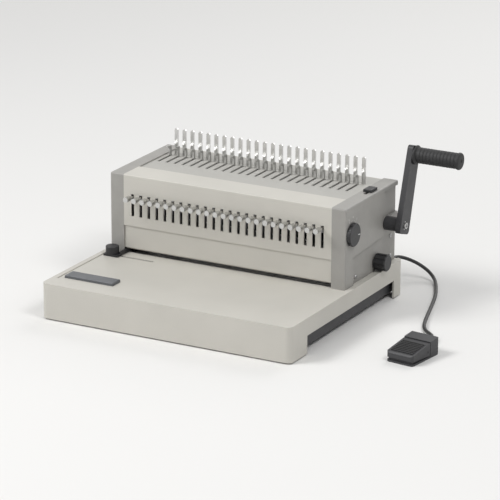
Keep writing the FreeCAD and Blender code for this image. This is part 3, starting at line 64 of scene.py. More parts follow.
class Shader:
    """A node material that is built step by step around one principled shader."""

    def __init__(self, name, colour, roughness, metallic=0.0):
        self.material = bpy.data.materials.new(name)
        self.material.use_nodes = True
        self.tree = self.material.node_tree
        self.main = self.tree.nodes["Principled BSDF"]
        self.main.inputs["Base Color"].default_value = (*colour, 1)
        self.main.inputs["Roughness"].default_value = roughness
        self.main.inputs["Metallic"].default_value = metallic
        self.colour = colour
        self.roughness = roughness
        self.height = None
        self.place = self.add("ShaderNodeTexCoord").outputs["Object"]
        materials[name] = self.material

    def add(self, kind, **settings):
        node = self.tree.nodes.new(kind)
        for key, value in settings.items():
            setattr(node, key, value)
        return node

    def link(self, source, target):
        self.tree.links.new(source, target)

    def noise(self, size, detail=3.0, stretch=None):
        """Noise whose features are about size metres across."""
        node = self.add("ShaderNodeTexNoise")
        node.inputs["Scale"].default_value = 1 / size
        node.inputs["Detail"].default_value = detail
        source = self.place
        if stretch:
            mapping = self.add("ShaderNodeMapping")
            mapping.inputs["Scale"].default_value = stretch
            self.link(source, mapping.inputs["Vector"])
            source = mapping.outputs["Vector"]
        self.link(source, node.inputs["Vector"])
        return node.outputs["Fac"]

    def vary_colour(self, source, amount):
        """Runs the colour from a little darker to a little lighter by a noise."""
        node = self.add("ShaderNodeValToRGB")
        dark, light = node.color_ramp.elements
        dark.position, light.position = 0.3, 0.7
        dark.color = (*[value * (1 - amount) for value in self.colour], 1)
        light.color = (*[min(1.0, value * (1 + amount)) for value in self.colour], 1)
        self.link(source, node.inputs["Fac"])
        self.link(node.outputs["Color"], self.main.inputs["Base Color"])

    def vary_roughness(self, source, amount):
        node = self.add("ShaderNodeMapRange")
        node.inputs["To Min"].default_value = max(0.02, self.roughness - amount)
        node.inputs["To Max"].default_value = min(1.0, self.roughness + amount)
        self.link(source, node.inputs["Value"])
        self.link(node.outputs["Result"], self.main.inputs["Roughness"])

    def bump(self, source, height, strength):
        """Relief of about the given height in metres."""
        node = self.add("ShaderNodeBump")
        node.inputs["Distance"].default_value = height
        node.inputs["Strength"].default_value = strength
        self.link(source, node.inputs["Height"])
        if self.height is not None:
            self.link(self.height, node.inputs["Normal"])
        self.height = node.outputs["Normal"]
        self.link(self.height, self.main.inputs["Normal"])


def painted(name, colour, grain=0.0011):
    """Powder coat: a fine orange peel, faint mottling and uneven gloss."""
    shader = Shader(name, colour, 0.46)
    shader.vary_colour(shader.noise(0.06, 4.0), 0.025)
    shader.vary_roughness(shader.noise(0.015), 0.07)
    shader.bump(shader.noise(grain, 2.0), 0.00008, 0.35)


def moulded(name, colour, roughness=0.55, grain=0.0007, gloss=0.06):
    """Moulded plastic with an etched grain."""
    shader = Shader(name, colour, roughness)
    shader.vary_colour(shader.noise(0.03, 4.0), 0.05)
    shader.vary_roughness(shader.noise(0.008), gloss)
    shader.bump(shader.noise(grain, 1.0), 0.00006, 0.4)


def brushed(name, colour, roughness, stretch):
    """Metal with a drawn grain, which runs along the axis whose scale is the smallest."""
    shader = Shader(name, colour, roughness, 1.0)
    shader.vary_colour(shader.noise(0.02, 4.0), 0.05)
    grain = shader.noise(0.0006, 4.0, stretch)
    shader.vary_roughness(grain, 0.12)
    shader.bump(grain, 0.00002, 0.3)


def rubber(name, colour, roughness=0.75):
    """Dull rubber with a fine grain."""
    shader = Shader(name, colour, roughness)
    shader.vary_colour(shader.noise(0.02, 3.0), 0.12)
    shader.bump(shader.noise(0.0005, 2.0), 0.00005, 0.4)


def circuit(name):
    """Green board with copper tracks under its lacquer."""
    shader = Shader(name, BOARD_GREEN, 0.35)
    tracks = shader.add("ShaderNodeTexBrick")
    tracks.inputs["Scale"].default_value = 220
    tracks.inputs["Color1"].default_value = (*BOARD_GREEN, 1)
    tracks.inputs["Color2"].default_value = (*BOARD_DARK, 1)
    tracks.inputs["Mortar"].default_value = (*BOARD_TRACK, 1)
    shader.link(shader.place, tracks.inputs["Vector"])
    shader.link(tracks.outputs["Color"], shader.main.inputs["Base Color"])


LIGHT_GREY = (0.56, 0.54, 0.49)
COVER_GREY = (0.33, 0.32, 0.30)
PLATE_GREY = (0.43, 0.42, 0.39)
NEAR_BLACK = (0.022, 0.022, 0.024)
BOARD_GREEN = (0.03, 0.13, 0.06)
BOARD_DARK = (0.025, 0.11, 0.05)
BOARD_TRACK = (0.07, 0.22, 0.09)

painted("base_paint", LIGHT_GREY)
painted("head_paint", LIGHT_GREY, 0.0013)
painted("plate_paint", PLATE_GREY, 0.0013)
painted("pan_paint", (0.05, 0.05, 0.054), 0.0009)
painted("motor_paint", (0.09, 0.095, 0.105))
painted("lever_paint", (0.035, 0.035, 0.038), 0.0009)
moulded("cover_plastic", COVER_GREY, 0.5)
moulded("black_plastic", NEAR_BLACK, 0.45)
moulded("rocker_plastic", (0.012, 0.012, 0.013), 0.2, 0.0009, 0.03)
moulded("bar_plastic", (0.12, 0.125, 0.135), 0.42)
moulded("pedal_plastic", (0.04, 0.04, 0.043), 0.5)
moulded("legend_ink", (0.75, 0.75, 0.73), 0.6)
brushed("tool_steel", (0.50, 0.50, 0.51), 0.34, (1, 1, 0.08))
brushed("bright_steel", (0.62, 0.62, 0.61), 0.30, (1, 1, 0.06))
brushed("pin_steel", (0.58, 0.58, 0.57), 0.26, (1, 0.08, 1))
brushed("bush_bronze", (0.55, 0.36, 0.15), 0.42, (1, 1, 1))
brushed("screw_zinc", (0.45, 0.45, 0.45), 0.32, (1, 1, 1))
rubber("foot_rubber", (0.025, 0.025, 0.025))
rubber("grip_rubber", (0.02, 0.02, 0.021), 0.6)
rubber("tread_rubber", (0.016, 0.016, 0.017), 0.65)
rubber("cord_rubber", (0.014, 0.014, 0.015), 0.5)
circuit("circuit_board")

# The finish of each node of the CAD, apart from the pull pins, which all have pin_steel
FINISHES = {
    "base_shell": "base_paint",
    "base_pan": "pan_paint",
    "rubber_feet": "foot_rubber",
    "chip_tray": "black_plastic",
    "die_plate": "tool_steel",
    "guide_block": "head_paint",
    "ram_bar": "tool_steel",
    "punches": "tool_steel",
    "side_plates": "pan_paint",
    "shaft_bushes": "bush_bronze",
    "punch_shaft": "tool_steel",
    "drive_shaft": "tool_steel",
    "jam_knob": "black_plastic",
    "gear_motor": "motor_paint",
    "left_end_cover": "cover_plastic",
    "right_end_cover": "cover_plastic",
    "front_cover": "head_paint",
    "top_plate": "plate_paint",
    "comb_tines": "bright_steel",
    "rear_cover": "head_paint",
    "power_inlet": "black_plastic",
    "power_rocker": "rocker_plastic",
    "control_board": "circuit_board",
    "opener_shaft": "tool_steel",
    "hook_carriage": "bright_steel",
    "lever_arm": "lever_paint",
    "lever_grip": "grip_rubber",
    "depth_dial": "black_plastic",
    "paper_stop": "bright_steel",
    "edge_guide": "black_plastic",
    "hand_bar": "bar_plastic",
    "opening_limiter": "black_plastic",
    "pedal_base": "pedal_plastic",
    "pedal_treadle": "pedal_plastic",
    "pedal_cord": "cord_rubber",
    "cord_gland": "cord_rubber",
}

# Edges: the width of the bevel in millimetres, and the angles that make an edge sharp
EDGE_WIDTHS = {
    "base_shell": 0.8,
    "left_end_cover": 0.6,
    "right_end_cover": 0.6,
    "guide_block": 0.5,
    "front_cover": 0.6,
    "top_plate": 0.6,
    "rear_cover": 0.4,
    "lever_arm": 1.0,
    "comb_tines": 0.5,
    "hook_carriage": 0.3,
    "hand_bar": 0.4,
    "edge_guide": 0.4,
    "opening_limiter": 0.3,
    "power_inlet": 0.4,
    "pedal_base": 0.5,
    "pedal_treadle": 0.4,
    "jam_knob": 0.3,
    "depth_dial": 0.3,
}
PIN_EDGE = 0.25
SMOOTH_ANGLE = math.radians(35)
EDGE_ANGLE = math.radians(40)


def smooth(piece):
    """Round surfaces shade smoothly and edges stay crisp."""
    mesh = piece.data
    mesh.shade_smooth()
    mesh.set_sharp_from_angle(angle=SMOOTH_ANGLE)


def break_edges(piece, width):
    """A small bevel on every sharp edge, as a moulding or a folded sheet has."""
    bevel = piece.modifiers.new("edges", "BEVEL")
    bevel.width = width * MM
    bevel.segments = 2
    bevel.limit_method = "ANGLE"
    bevel.angle_limit = EDGE_ANGLE
    bevel.harden_normals = True


for name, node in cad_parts.items():
    is_pin = name.startswith("pull_pin_")
    finish = "pin_steel" if is_pin else FINISHES[name]
    node.data.materials.clear()
    node.data.materials.append(materials[finish])
    smooth(node)
    width = PIN_EDGE if is_pin else EDGE_WIDTHS.get(name)
    if width:
        break_edges(node, width)


# Pieces made here


def new_piece(name, mesh, finish, body, place=None, stands_for=None):
    """Adds a mesh as a piece that rides on a body. Its place is worked into the mesh."""
    if place is not None:
        mesh.transform(place)
    piece = bpy.data.objects.new(name, mesh)
    bpy.context.scene.collection.objects.link(piece)
    mesh.materials.append(materials[finish])
    smooth(piece)
    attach(piece, body)
    if stands_for:
        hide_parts(stands_for)
    return piece


def ring_at(made, height, radius, sides):
    """Vertices round the z axis, with the height and radius in millimetres."""
    ring = []
    for step in range(sides):
        angle = 2 * math.pi * step / sides
        flat = (radius * MM * math.cos(angle), radius * MM * math.sin(angle))
        ring.append(made.verts.new((*flat, height * MM)))
    return ring


def join_loops(made, one, other):
    """Four-sided faces between two closed loops of as many vertices."""
    for step in range(len(one)):
        after = (step + 1) % len(one)
        made.faces.new((one[step], one[after], other[after], other[step]))


def turned(name, outline, sides=32):
    """A mesh turned round the z axis from an outline of (height, radius) in millimetres."""
    made = bmesh.new()
    rings = []
    for height, radius in outline:
        if radius == 0:
            rings.append([made.verts.new((0, 0, height * MM))])
        else:
            rings.append(ring_at(made, height, radius, sides))
    for lower, upper in zip(rings, rings[1:]):
        for step in range(sides):
            after = (step + 1) % sides
            corners = [lower[step % len(lower)], lower[after % len(lower)]]
            corners += [upper[after % len(upper)], upper[step % len(upper)]]
            corners = list(dict.fromkeys(corners))
            if len(corners) > 2:
                made.faces.new(corners)
    return mesh_from(name, made)


def mesh_from(name, made):
    """A mesh from a draft, which is used up, with its faces turned outward."""
    mesh = bpy.data.meshes.new(name)
    bmesh.ops.recalc_face_normals(made, faces=made.faces)
    made.to_mesh(mesh)
    made.free()
    return mesh


def add_box(made, x, y, z):
    """A box between two places on each axis, in the machine's own millimetres."""
    size = Vector((x[1] - x[0], y[1] - y[0], z[1] - z[0])) * MM
    middle = spot((x[0] + x[1]) / 2, (y[0] + y[1]) / 2, (z[0] + z[1]) / 2)
    place = Matrix.Translation(middle) @ Matrix.Diagonal((*size, 1))
    bmesh.ops.create_cube(made, size=1, matrix=place)


def pointed(direction, place):
    """Turns +Z to a direction and moves to a place in the machine's own numbers."""
    turn = Vector((0, 0, 1)).rotation_difference(Vector(direction)).to_matrix().to_4x4()
    return Matrix.Translation(spot(*place)) @ turn


def cross_recess(radius):
    """A cross: an inner corner and the two corners of an arm, four times, in shares of the radius."""
    reach = 0.62 * radius
    arm = 0.13 * radius
    star = []
    for quarter in range(4):
        angle = quarter * math.pi / 2
        along = Vector((math.cos(angle), math.sin(angle)))
        across = Vector((-along.y, along.x))
        star += [along * arm * 1.4 - across * arm * 1.4, along * reach - across * arm * 0.7]
        star += [along * reach + across * arm * 0.7]
    return star


def hex_recess(radius):
    """A hexagon, in shares of the radius."""
    reach = 0.52 * radius
    turns = [math.radians(60 * step) for step in range(6)]
    return [Vector((reach * math.cos(angle), reach * math.sin(angle))) for angle in turns]


# Screw heads: heights and radii as shares of the head's own
SMALL_SIDES = 24
RECESS_FLOOR = 0.35
PAN_HEAD = ((0, 1.0), (0.45, 1.0), (0.8, 0.9), (1.0, 0.72))
CAP_HEAD = ((0, 1.0), (0.8, 1.0), (0.93, 0.97), (1.0, 0.9))
FIRST_TWIST = math.radians(12)
NEXT_TWIST = math.radians(37)


def screw_head(radius, rise, socket):
    """A screw's head on z = 0: a pan head with a cross recess, or a cap head with a hex socket."""
    made = bmesh.new()
    star = hex_recess(radius) if socket else cross_recess(radius)
    taper = 0.96 if socket else 0.6
    levels = CAP_HEAD if socket else PAN_HEAD
    rings = [ring_at(made, rise * height, radius * share, SMALL_SIDES) for height, share in levels]
    for lower, upper in zip(rings, rings[1:]):
        join_loops(made, lower, upper)
    made.faces.new(list(reversed(rings[0])))
    sunk = rise * RECESS_FLOOR
    mouth = [made.verts.new((place.x * MM, place.y * MM, rise * MM)) for place in star]
    floor = [made.verts.new((place.x * taper * MM, place.y * taper * MM, sunk * MM)) for place in star]
    join_loops(made, mouth, floor)
    made.faces.new(floor)
    rim = [edge for edge in made.edges if all(vert in rings[-1] for vert in edge.verts)]
    lip = [edge for edge in made.edges if all(vert in mouth for vert in edge.verts)]
    bmesh.ops.bridge_loops(made, edges=rim + lip)
    return mesh_from("screw", made)


def screws(name, body, direction, places, size, socket=False):
    """One piece that holds a row of screws, each at its place and pointing one way."""
    made = bmesh.new()
    head = screw_head(*size, socket)
    for number, place in enumerate(places):
        copy = head.copy()
        twist = Matrix.Rotation(FIRST_TWIST + NEXT_TWIST * number, 4, "Z")
        copy.transform(pointed(direction, place) @ twist)
        made.from_mesh(copy)
        bpy.data.meshes.remove(copy)
    bpy.data.meshes.remove(head)
    new_piece(name, mesh_from(name, made), "screw_zinc", body)


# Lever: the rubber grip with its rings, and the cap screw that holds the arm on its shaft

LEVER_PIVOT = (326.0, 126.0)
LEVER_SCREW = (5.2, 3.2)
GRIP_SIDES = 48
GRIP_COLLAR = 2.6
GRIP_RINGS = 11
RINGS_START = 6.0
RINGS_END = 7.0


def lever_grip():
    """The outline runs from the arm outward: a collar, the rings and a rounded end."""
    low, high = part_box("lever_grip")
    radius = (high.z - low.z) / 2 / MM
    length = (high.x - low.x) / MM
    body = radius - GRIP_COLLAR
    outline = [(0, 0), (0, radius - 1), (0.4, radius - 0.3), (1.2, radius), (2.2, radius)]
    outline += [(3.0, radius - 0.4), (3.8, body + 0.4), (5.2, body - 0.9)]
    pitch = (length - RINGS_START - RINGS_END) / GRIP_RINGS
    for number in range(GRIP_RINGS):
        begin = RINGS_START + pitch * number
        outline += [(begin, body - 0.8), (begin + 0.12 * pitch, body - 0.1)]
        outline += [(begin + 0.28 * pitch, body), (begin + 0.62 * pitch, body)]
        outline += [(begin + 0.78 * pitch, body - 0.1), (begin + 0.9 * pitch, body - 0.8)]
    outline += [(length - 6.0, body - 0.8), (length - 4.8, body + 0.7), (length - 3.6, body + 1)]
    outline += [(length - 1.6, body + 0.7), (length - 0.5, body - 0.2), (length, body - 1.8)]
    outline += [(length, 3.4), (length - 0.8, 2.9), (length - 1.4, 0)]
    mesh = turned("grip_sleeve", outline, GRIP_SIDES)
    middle = Vector((low.x, (low.y + high.y) / 2, (low.z + high.z) / 2))
    place = Matrix.Translation(middle) @ Matrix.Rotation(math.pi / 2, 4, "Y")
    new_piece("grip_sleeve", mesh, "grip_rubber", "lever", place, "lever_grip")
    shaft_end = (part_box("opener_shaft")[1].x - centre_x) / MM
    screws("lever_screw", "lever", (1, 0, 0), [(shaft_end, *LEVER_PIVOT)], LEVER_SCREW, socket=True)


lever_grip()

# Cord gland on the back of the base and the ribs of the pedal's own relief

GLAND = (178.0, 370.0, 42.0)
GLAND_LENGTH = 24.0
RELIEF_LENGTH = 15.5
PEDAL_AT = (352.6, 117.6, 0.0)
PEDAL_TURN = math.radians(-7.3)
PEDAL_RELIEF = (-10.0, 35.4, 8.0)


def ribbed_relief(name, wide, narrow, length, ribs, flange, place, stands_for=None):
    """A flange and a tapered row of ribs round the cord, with radii and lengths in millimetres."""
    outline = [(0, 0), (0, flange), (2.2, flange), (3.0, flange - 0.6), (3.2, wide)]
    pitch = (length - 4.5) / ribs
    for number in range(ribs):
        begin = 3.4 + pitch * number
        share = number / ribs
        full = wide + (narrow - wide) * share
        thin = full - 0.9
        outline += [(begin, full), (begin + 0.5 * pitch, full - 0.1)]
        outline += [(begin + 0.55 * pitch, thin), (begin + 0.92 * pitch, thin)]
    outline += [(length - 1.0, narrow), (length, narrow - 0.5), (length, 0)]
    mesh = turned(name, outline)
    new_piece(name, mesh, "cord_rubber", "base", place, stands_for)


def pedal_place(x, y, z):
    """A place in the pedal's own numbers, given in the machine's."""
    turned_place = Matrix.Rotation(PEDAL_TURN, 3, "Z") @ Vector((x, y, z))
    return tuple(turned_place + Vector(PEDAL_AT))


ribbed_relief("gland_ribs", 5.2, 3.6, GLAND_LENGTH, 6, 7.7, pointed((0, 1, 0), GLAND), "cord_gland")
pedal_back = Matrix.Rotation(PEDAL_TURN, 3, "Z") @ Vector((0, 1, 0))
relief_place = pointed(pedal_back, pedal_place(*PEDAL_RELIEF))
ribbed_relief("pedal_relief", 4.9, 3.6, RELIEF_LENGTH, 4, 5.6, relief_place)

# Screws: end covers, rear cover, mains inlet and floor pan. A size is a head's radius and rise.

COVER_SCREW = (3.2, 1.7)
REAR_SCREW = (3.0, 1.6)
INLET_SCREW = (2.0, 0.9)
PAN_SCREW = (3.0, 1.5)
HEAD_SIDE = 200.0
HEAD_BACK = 366.0
INLET_FACE = 368.0
INLET_MIDDLE = 86.0
SIDE_SCREWS = ((232, 66), (350, 66), (350, 98))
REAR_SCREW_ACROSS = (-190, -60, 60, 190)
REAR_SCREW_HEIGHTS = (62, 174)
INLET_SCREW_ACROSS = (-156, -121)
PAN_SCREW_INSET = 11.0


def fasteners():
    for side, word in ((1, "right"), (-1, "left")):
        places = [(side * HEAD_SIDE, y, z) for y, z in SIDE_SCREWS]
        screws(f"{word}_cover_screws", "base", (side, 0, 0), places, COVER_SCREW)
    rear = [(x, HEAD_BACK, z) for x in REAR_SCREW_ACROSS for z in REAR_SCREW_HEIGHTS]
    screws("rear_cover_screws", "base", (0, 1, 0), rear, REAR_SCREW)
    inlet = [(x, INLET_FACE, INLET_MIDDLE) for x in INLET_SCREW_ACROSS]
    screws("inlet_screws", "base", (0, 1, 0), inlet, INLET_SCREW)
    low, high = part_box("base_pan")
    half = (high.x - low.x) / 2 / MM - PAN_SCREW_INSET
    front = (low.y - front_y) / MM + PAN_SCREW_INSET
    back = (high.y - front_y) / MM - PAN_SCREW_INSET
    under = [(x, y, low.z / MM) for x in (-half, 0.0, half) for y in (front, back)]
    screws("pan_screws", "base", (0, 0, -1), under, PAN_SCREW)


fasteners()

# Marks: the dial's index, its scale with five figures, and the rocker's two signs

DIAL = (210.0, 139.6)
DIAL_FACE = 210.6
DIAL_START = math.radians(-10)
DIAL_SWING = math.radians(120)
INDEX_RADIUS = 12.5
INDEX_LENGTH = 7.0
INDEX_WIDTH = 1.1
SCALE_RADIUS = 19.6
LONG_TICK = 3.0
SHORT_TICK = 1.8
TICK_WIDTH = 0.5
NUMBER_RADIUS = 26.0
NUMBER_SIZE = 4.6
NUMBER_COUNT = 5
COVER_SIDE = 204.0
INK = 0.06


def placed_boxes(name, sizes_and_places, finish, body):
    """One piece of small boxes, each with its own size and place."""
    made = bmesh.new()
    for size, place in sizes_and_places:
        scale = Matrix.Diagonal((size[0] * MM, size[1] * MM, size[2] * MM, 1))
        bmesh.ops.create_cube(made, size=1, matrix=place @ scale)
    new_piece(name, mesh_from(name, made), finish, body)


def side_frame(angle, radius, height):
    """A place on the right side: z points out, x points away from the dial's centre."""
    cosine = math.cos(angle)
    sine = math.sin(angle)
    turn = Matrix(((0, 0, 1), (cosine, -sine, 0), (sine, cosine, 0)))
    y = DIAL[0] + radius * cosine
    z = DIAL[1] + radius * sine
    return Matrix.Translation(spot(height, y, z)) @ turn.to_4x4()


def lettering(name, words, size, place, finish, body):
    """Raised figures as a mesh, with their doubled vertices joined."""
    curve = bpy.data.curves.new(name, "FONT")
    curve.body = words
    curve.size = size * MM
    curve.extrude = INK / 2 * MM
    curve.align_x = "CENTER"
    curve.align_y = "CENTER"
    curve.resolution_u = 3
    draft = bpy.data.objects.new(name, curve)
    bpy.context.scene.collection.objects.link(draft)
    bpy.context.view_layer.update()
    made = bmesh.new()
    made.from_mesh(bpy.data.meshes.new_from_object(draft))
    bpy.data.objects.remove(draft)
    bmesh.ops.remove_doubles(made, verts=made.verts, dist=0.001 * MM)
    new_piece(name, mesh_from(name, made), finish, body, place)


def dial_marks():
    index = side_frame(DIAL_START, INDEX_RADIUS, DIAL_FACE + INK / 2)
    placed_boxes("dial_index", [((INDEX_LENGTH, INDEX_WIDTH, INK), index)], "legend_ink", "dial")
    height = COVER_SIDE + INK / 2
    steps = 2 * (NUMBER_COUNT - 1)
    ticks = []
    for number in range(steps + 1):
        length = LONG_TICK if number % 2 == 0 else SHORT_TICK
        place = side_frame(DIAL_START + DIAL_SWING * number / steps, SCALE_RADIUS + length / 2, height)
        ticks.append(((length, TICK_WIDTH, INK), place))
    placed_boxes("dial_scale", ticks, "legend_ink", "base")
    upright = Matrix(((0, 0, 1), (1, 0, 0), (0, 1, 0))).to_4x4()
    for number in range(NUMBER_COUNT):
        angle = DIAL_START + DIAL_SWING * number / (NUMBER_COUNT - 1)
        y = DIAL[0] + NUMBER_RADIUS * math.cos(angle)
        z = DIAL[1] + NUMBER_RADIUS * math.sin(angle)
        place = Matrix.Translation(spot(height, y, z)) @ upright
        lettering(f"dial_number_{number + 1}", str(number + 1), NUMBER_SIZE, place, "legend_ink", "base")


# The rocker's two faces: where the middle of each sign lies, and how far the face leans back
ROCKER_ACROSS = -98.0
UPPER_SIGN = (371.13, 91.15)
UPPER_LEAN = math.atan2(2.8, 11.1)
LOWER_SIGN = (368.76, 79.85)
LOWER_LEAN = math.atan2(2.0, 11.5)
ON_SIGN = (0.9, INK, 4.4)
RING_OUTER = 2.2
RING_INNER = 1.5


def rocker_marks():
    upper = Matrix.Translation(spot(ROCKER_ACROSS, *UPPER_SIGN)) @ Matrix.Rotation(-UPPER_LEAN, 4, "X")
    placed_boxes("rocker_on_sign", [(ON_SIGN, upper)], "legend_ink", "rocker")
    made = bmesh.new()
    outline = ((0.0, RING_OUTER), (0.0, RING_INNER), (INK, RING_INNER), (INK, RING_OUTER))
    rings = [ring_at(made, height, radius, SMALL_SIDES) for height, radius in outline]
    for one, other in zip(rings, rings[1:] + rings[:1]):
        join_loops(made, one, other)
    lower = Matrix.Translation(spot(ROCKER_ACROSS, *LOWER_SIGN)) @ Matrix.Rotation(-LOWER_LEAN, 4, "X")
    flat = Matrix.Rotation(math.pi / 2, 4, "X")
    new_piece("rocker_off_sign", mesh_from("rocker_off_sign", made), "legend_ink", "rocker", lower @ flat)


dial_marks()
rocker_marks()

# Contacts in the mains inlet

CONTACTS = ((-147.0, 83.5), (-133.0, 83.5), (-140.0, 89.5))
CONTACT_ENDS = (352.0, 363.0)
CONTACT_HALF_WIDTH = 1.0
CONTACT_HALF_HEIGHT = 2.0
CONTACT_EDGE = 0.3


def inlet_contacts():
    made = bmesh.new()
    for x, z in CONTACTS:
        across = (x - CONTACT_HALF_WIDTH, x + CONTACT_HALF_WIDTH)
        upward = (z - CONTACT_HALF_HEIGHT, z + CONTACT_HALF_HEIGHT)
        add_box(made, across, CONTACT_ENDS, upward)
    piece = new_piece("inlet_contacts", mesh_from("inlet_contacts", made), "pin_steel", "base")
    break_edges(piece, CONTACT_EDGE)


inlet_contacts()

# Treadle: rounded rubber bars over its ribs, each a little wider than its rib

PEDAL_FRONT = 16.0
PEDAL_BACK = 27.0
PEDAL_LENGTH = 72.0
PEDAL_WIDTH = 46.0
TREAD_BARS = 8
TREAD_PITCH = 4.4
TREAD_FIRST = 6.0
TREAD_MARGIN = 4.2
TREAD_RIB = 2.4
TREAD_COVER = 0.15
TREAD_RISE = 0.95
TREAD_CROWN = 0.35
TREAD_SINK = 0.3
TREAD_STEPS = 6
BAR_END = 0.8
BAR_END_DROP = 0.3


def tread_bars():
    slope = (PEDAL_BACK - PEDAL_FRONT) / PEDAL_LENGTH
    half_length = PEDAL_LENGTH / 2
    reach = PEDAL_WIDTH / 2 - TREAD_MARGIN
    made = bmesh.new()
    for number in range(TREAD_BARS):
        begin = -half_length + TREAD_FIRST + TREAD_PITCH * number
        section = []
        for step in range(TREAD_STEPS + 1):
            share = step / TREAD_STEPS
            y = begin - TREAD_COVER + (TREAD_RIB + 2 * TREAD_COVER) * share
            top = PEDAL_FRONT + slope * (y + half_length)
            section.append((y, top + TREAD_RISE + TREAD_CROWN * math.sin(math.pi * share)))
        base_height = PEDAL_FRONT + slope * (begin + half_length) - TREAD_SINK
        section = [(section[0][0], base_height)] + section + [(section[-1][0], base_height)]
        ends = []
        for x in (-reach, -reach + BAR_END, reach - BAR_END, reach):
            drop = BAR_END_DROP if abs(x) == reach else 0.0
            ring = []
            for y, z in section:
                lowered = max(base_height, z - drop)
                ring.append(made.verts.new(spot(*pedal_place(x, y, lowered))))
            ends.append(ring)
        for lower, upper in zip(ends, ends[1:]):
            join_loops(made, lower, upper)
        made.faces.new(ends[0])
        made.faces.new(ends[-1])
    new_piece("tread_bars", mesh_from("tread_bars", made), "tread_rubber", "treadle")


tread_bars()

# Pedal cord: the points of its route, given one by one

CORD_ROUTE = [
    (178.0, 394.0, 42.0),
    (178.0, 408.0, 42.0),
    (180.0, 422.0, 40.0),
    (187.0, 437.0, 34.0),
    (200.0, 449.0, 25.0),
    (217.0, 451.0, 15.5),
    (232.0, 443.0, 8.0),
    (243.0, 427.0, 4.0),
    (253.0, 407.0, 3.2),
    (266.0, 378.0, 3.2),
    (278.0, 342.0, 3.2),
    (290.0, 304.0, 3.2),
    (300.0, 272.0, 3.2),
    (309.0, 246.0, 3.2),
    (321.0, 225.0, 3.4),
    (336.0, 209.5, 5.4),
    (346.6, 197.0, 7.2),
    (350.9, 183.5, 8.0),
    (349.0, 168.5, 8.0),
]
CORD_RADIUS = 2.75


def pedal_cord():
    curve = bpy.data.curves.new("cord_line", "CURVE")
    curve.dimensions = "3D"
    curve.bevel_depth = CORD_RADIUS * MM
    curve.bevel_resolution = 6
    curve.resolution_u = 12
    spline = curve.splines.new("NURBS")
    spline.points.add(len(CORD_ROUTE) - 1)
    for point, place in zip(spline.points, CORD_ROUTE):
        point.co = (*spot(*place), 1)
    spline.order_u = 3
    spline.use_endpoint_u = True
    curve.materials.append(materials["cord_rubber"])
    piece = bpy.data.objects.new("cord_line", curve)
    bpy.context.scene.collection.objects.link(piece)
    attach(piece, "base")
    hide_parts("pedal_cord")


pedal_cord()

# Studio

PALE = (0.80, 0.79, 0.77)
FLOOR_SIZE = 60
FLOOR_LIT = 1.2
FLOOR_EVEN = 4.0
SKY = (0.95, 0.97, 1.0)
SKY_STRENGTH = 0.42
LAMP_AIM = (0, 0, 0.1)

# Each lamp's name, its place and size in metres, and its power in watts
LAMPS = (
    ("key_lamp", (-1.9, -1.9, 2.7), 1.4, 78),
    ("side_lamp", (1.8, -0.7, 2.7), 1.0, 30),
    ("rear_lamp", (0.2, 2.6, 2.0), 1.6, 26),
)


def seen(tree):
    """1 for the rays that show the background itself or its mirror image, and 0 for its light."""
    path = tree.nodes.new("ShaderNodeLightPath")
    total = path.outputs["Is Camera Ray"]
    for name in ("Is Glossy Ray", "Is Transmission Ray"):
        larger = tree.nodes.new("ShaderNodeMath")
        larger.operation = "MAXIMUM"
        tree.links.new(total, larger.inputs[0])
        tree.links.new(path.outputs[name], larger.inputs[1])
        total = larger.outputs["Value"]
    return total


def floor_finish():
    """A pale matt floor. From FLOOR_LIT to FLOOR_EVEN metres out it turns into the backdrop's tone."""
    shader = Shader("floor_finish", PALE, 0.9)
    away = shader.add("ShaderNodeVectorMath", operation="LENGTH")
    shader.link(shader.place, away.inputs[0])
    share = shader.add("ShaderNodeMapRange", interpolation_type="SMOOTHSTEP")
    share.inputs["From Min"].default_value = FLOOR_LIT
    share.inputs["From Max"].default_value = FLOOR_EVEN
    shader.link(away.outputs["Value"], share.inputs["Value"])
    factor = shader.add("ShaderNodeMath", operation="MULTIPLY")
    shader.link(share.outputs["Result"], factor.inputs[0])
    shader.link(seen(shader.tree), factor.inputs[1])
    even = shader.add("ShaderNodeEmission")
    even.inputs["Color"].default_value = (*PALE, 1)
    mixed = shader.add("ShaderNodeMixShader")
    shader.link(factor.outputs["Value"], mixed.inputs["Fac"])
    shader.link(shader.main.outputs["BSDF"], mixed.inputs[1])
    shader.link(even.outputs["Emission"], mixed.inputs[2])
    shader.link(mixed.outputs["Shader"], shader.tree.nodes["Material Output"].inputs["Surface"])
    return shader.material


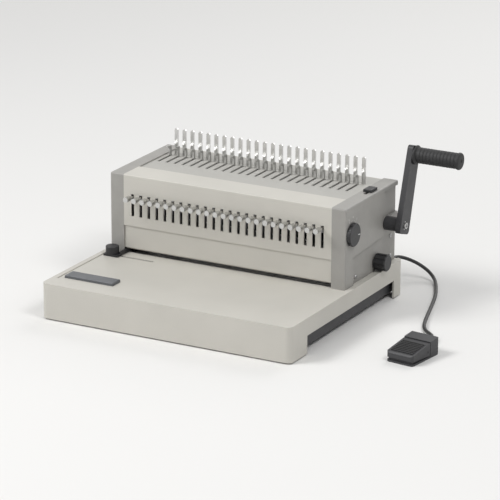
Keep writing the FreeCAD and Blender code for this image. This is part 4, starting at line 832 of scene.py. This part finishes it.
def surroundings():
    """A cool even light from all round, behind a backdrop of the floor's own tone."""
    world = bpy.data.worlds.new("studio")
    world.use_nodes = True
    tree = world.node_tree
    light = tree.nodes["Background"]
    light.inputs["Color"].default_value = (*SKY, 1)
    light.inputs["Strength"].default_value = SKY_STRENGTH
    backdrop = tree.nodes.new("ShaderNodeBackground")
    backdrop.inputs["Color"].default_value = (*PALE, 1)
    mixed = tree.nodes.new("ShaderNodeMixShader")
    tree.links.new(seen(tree), mixed.inputs["Fac"])
    tree.links.new(light.outputs["Background"], mixed.inputs[1])
    tree.links.new(backdrop.outputs["Background"], mixed.inputs[2])
    tree.links.new(mixed.outputs["Shader"], tree.nodes["World Output"].inputs["Surface"])
    bpy.context.scene.world = world


def studio():
    bpy.ops.mesh.primitive_plane_add(size=FLOOR_SIZE)
    floor = bpy.context.object
    floor.name = "floor"
    floor.data.materials.append(floor_finish())
    surroundings()
    for name, place, size, power in LAMPS:
        light = bpy.data.lights.new(name, "AREA")
        light.size = size
        light.energy = power
        lamp = bpy.data.objects.new(name, light)
        lamp.location = place
        aim = Vector(LAMP_AIM) - lamp.location
        lamp.rotation_euler = aim.to_track_quat("-Z", "Y").to_euler()
        bpy.context.scene.collection.objects.link(lamp)


studio()

# Camera: the angle from which the machine is drawn, with the frame drawn closer round it

CAMERA_TURN = math.radians(28.98)
CAMERA_TILT = math.radians(18.09)
CAMERA_DISTANCE = 4.9006
CAMERA_TARGET = (0, 185, 90)
CAMERA_LENS = 232.0
CAMERA_SHIFT = 0.052
SENSOR_WIDTH = 36
CLIP_END = 100


def camera():
    data = bpy.data.cameras.new("camera")
    data.lens = CAMERA_LENS
    data.sensor_width = SENSOR_WIDTH
    data.shift_x = CAMERA_SHIFT
    data.clip_end = CLIP_END
    view = bpy.data.objects.new("camera", data)
    flat = math.cos(CAMERA_TILT)
    away = Vector((math.sin(CAMERA_TURN) * flat, -math.cos(CAMERA_TURN) * flat, math.sin(CAMERA_TILT)))
    view.location = spot(*CAMERA_TARGET) + away * CAMERA_DISTANCE
    view.rotation_euler = (-away).to_track_quat("-Z", "Y").to_euler()
    bpy.context.scene.collection.objects.link(view)
    bpy.context.scene.camera = view


camera()

bpy.context.scene.view_settings.view_transform = "Standard"
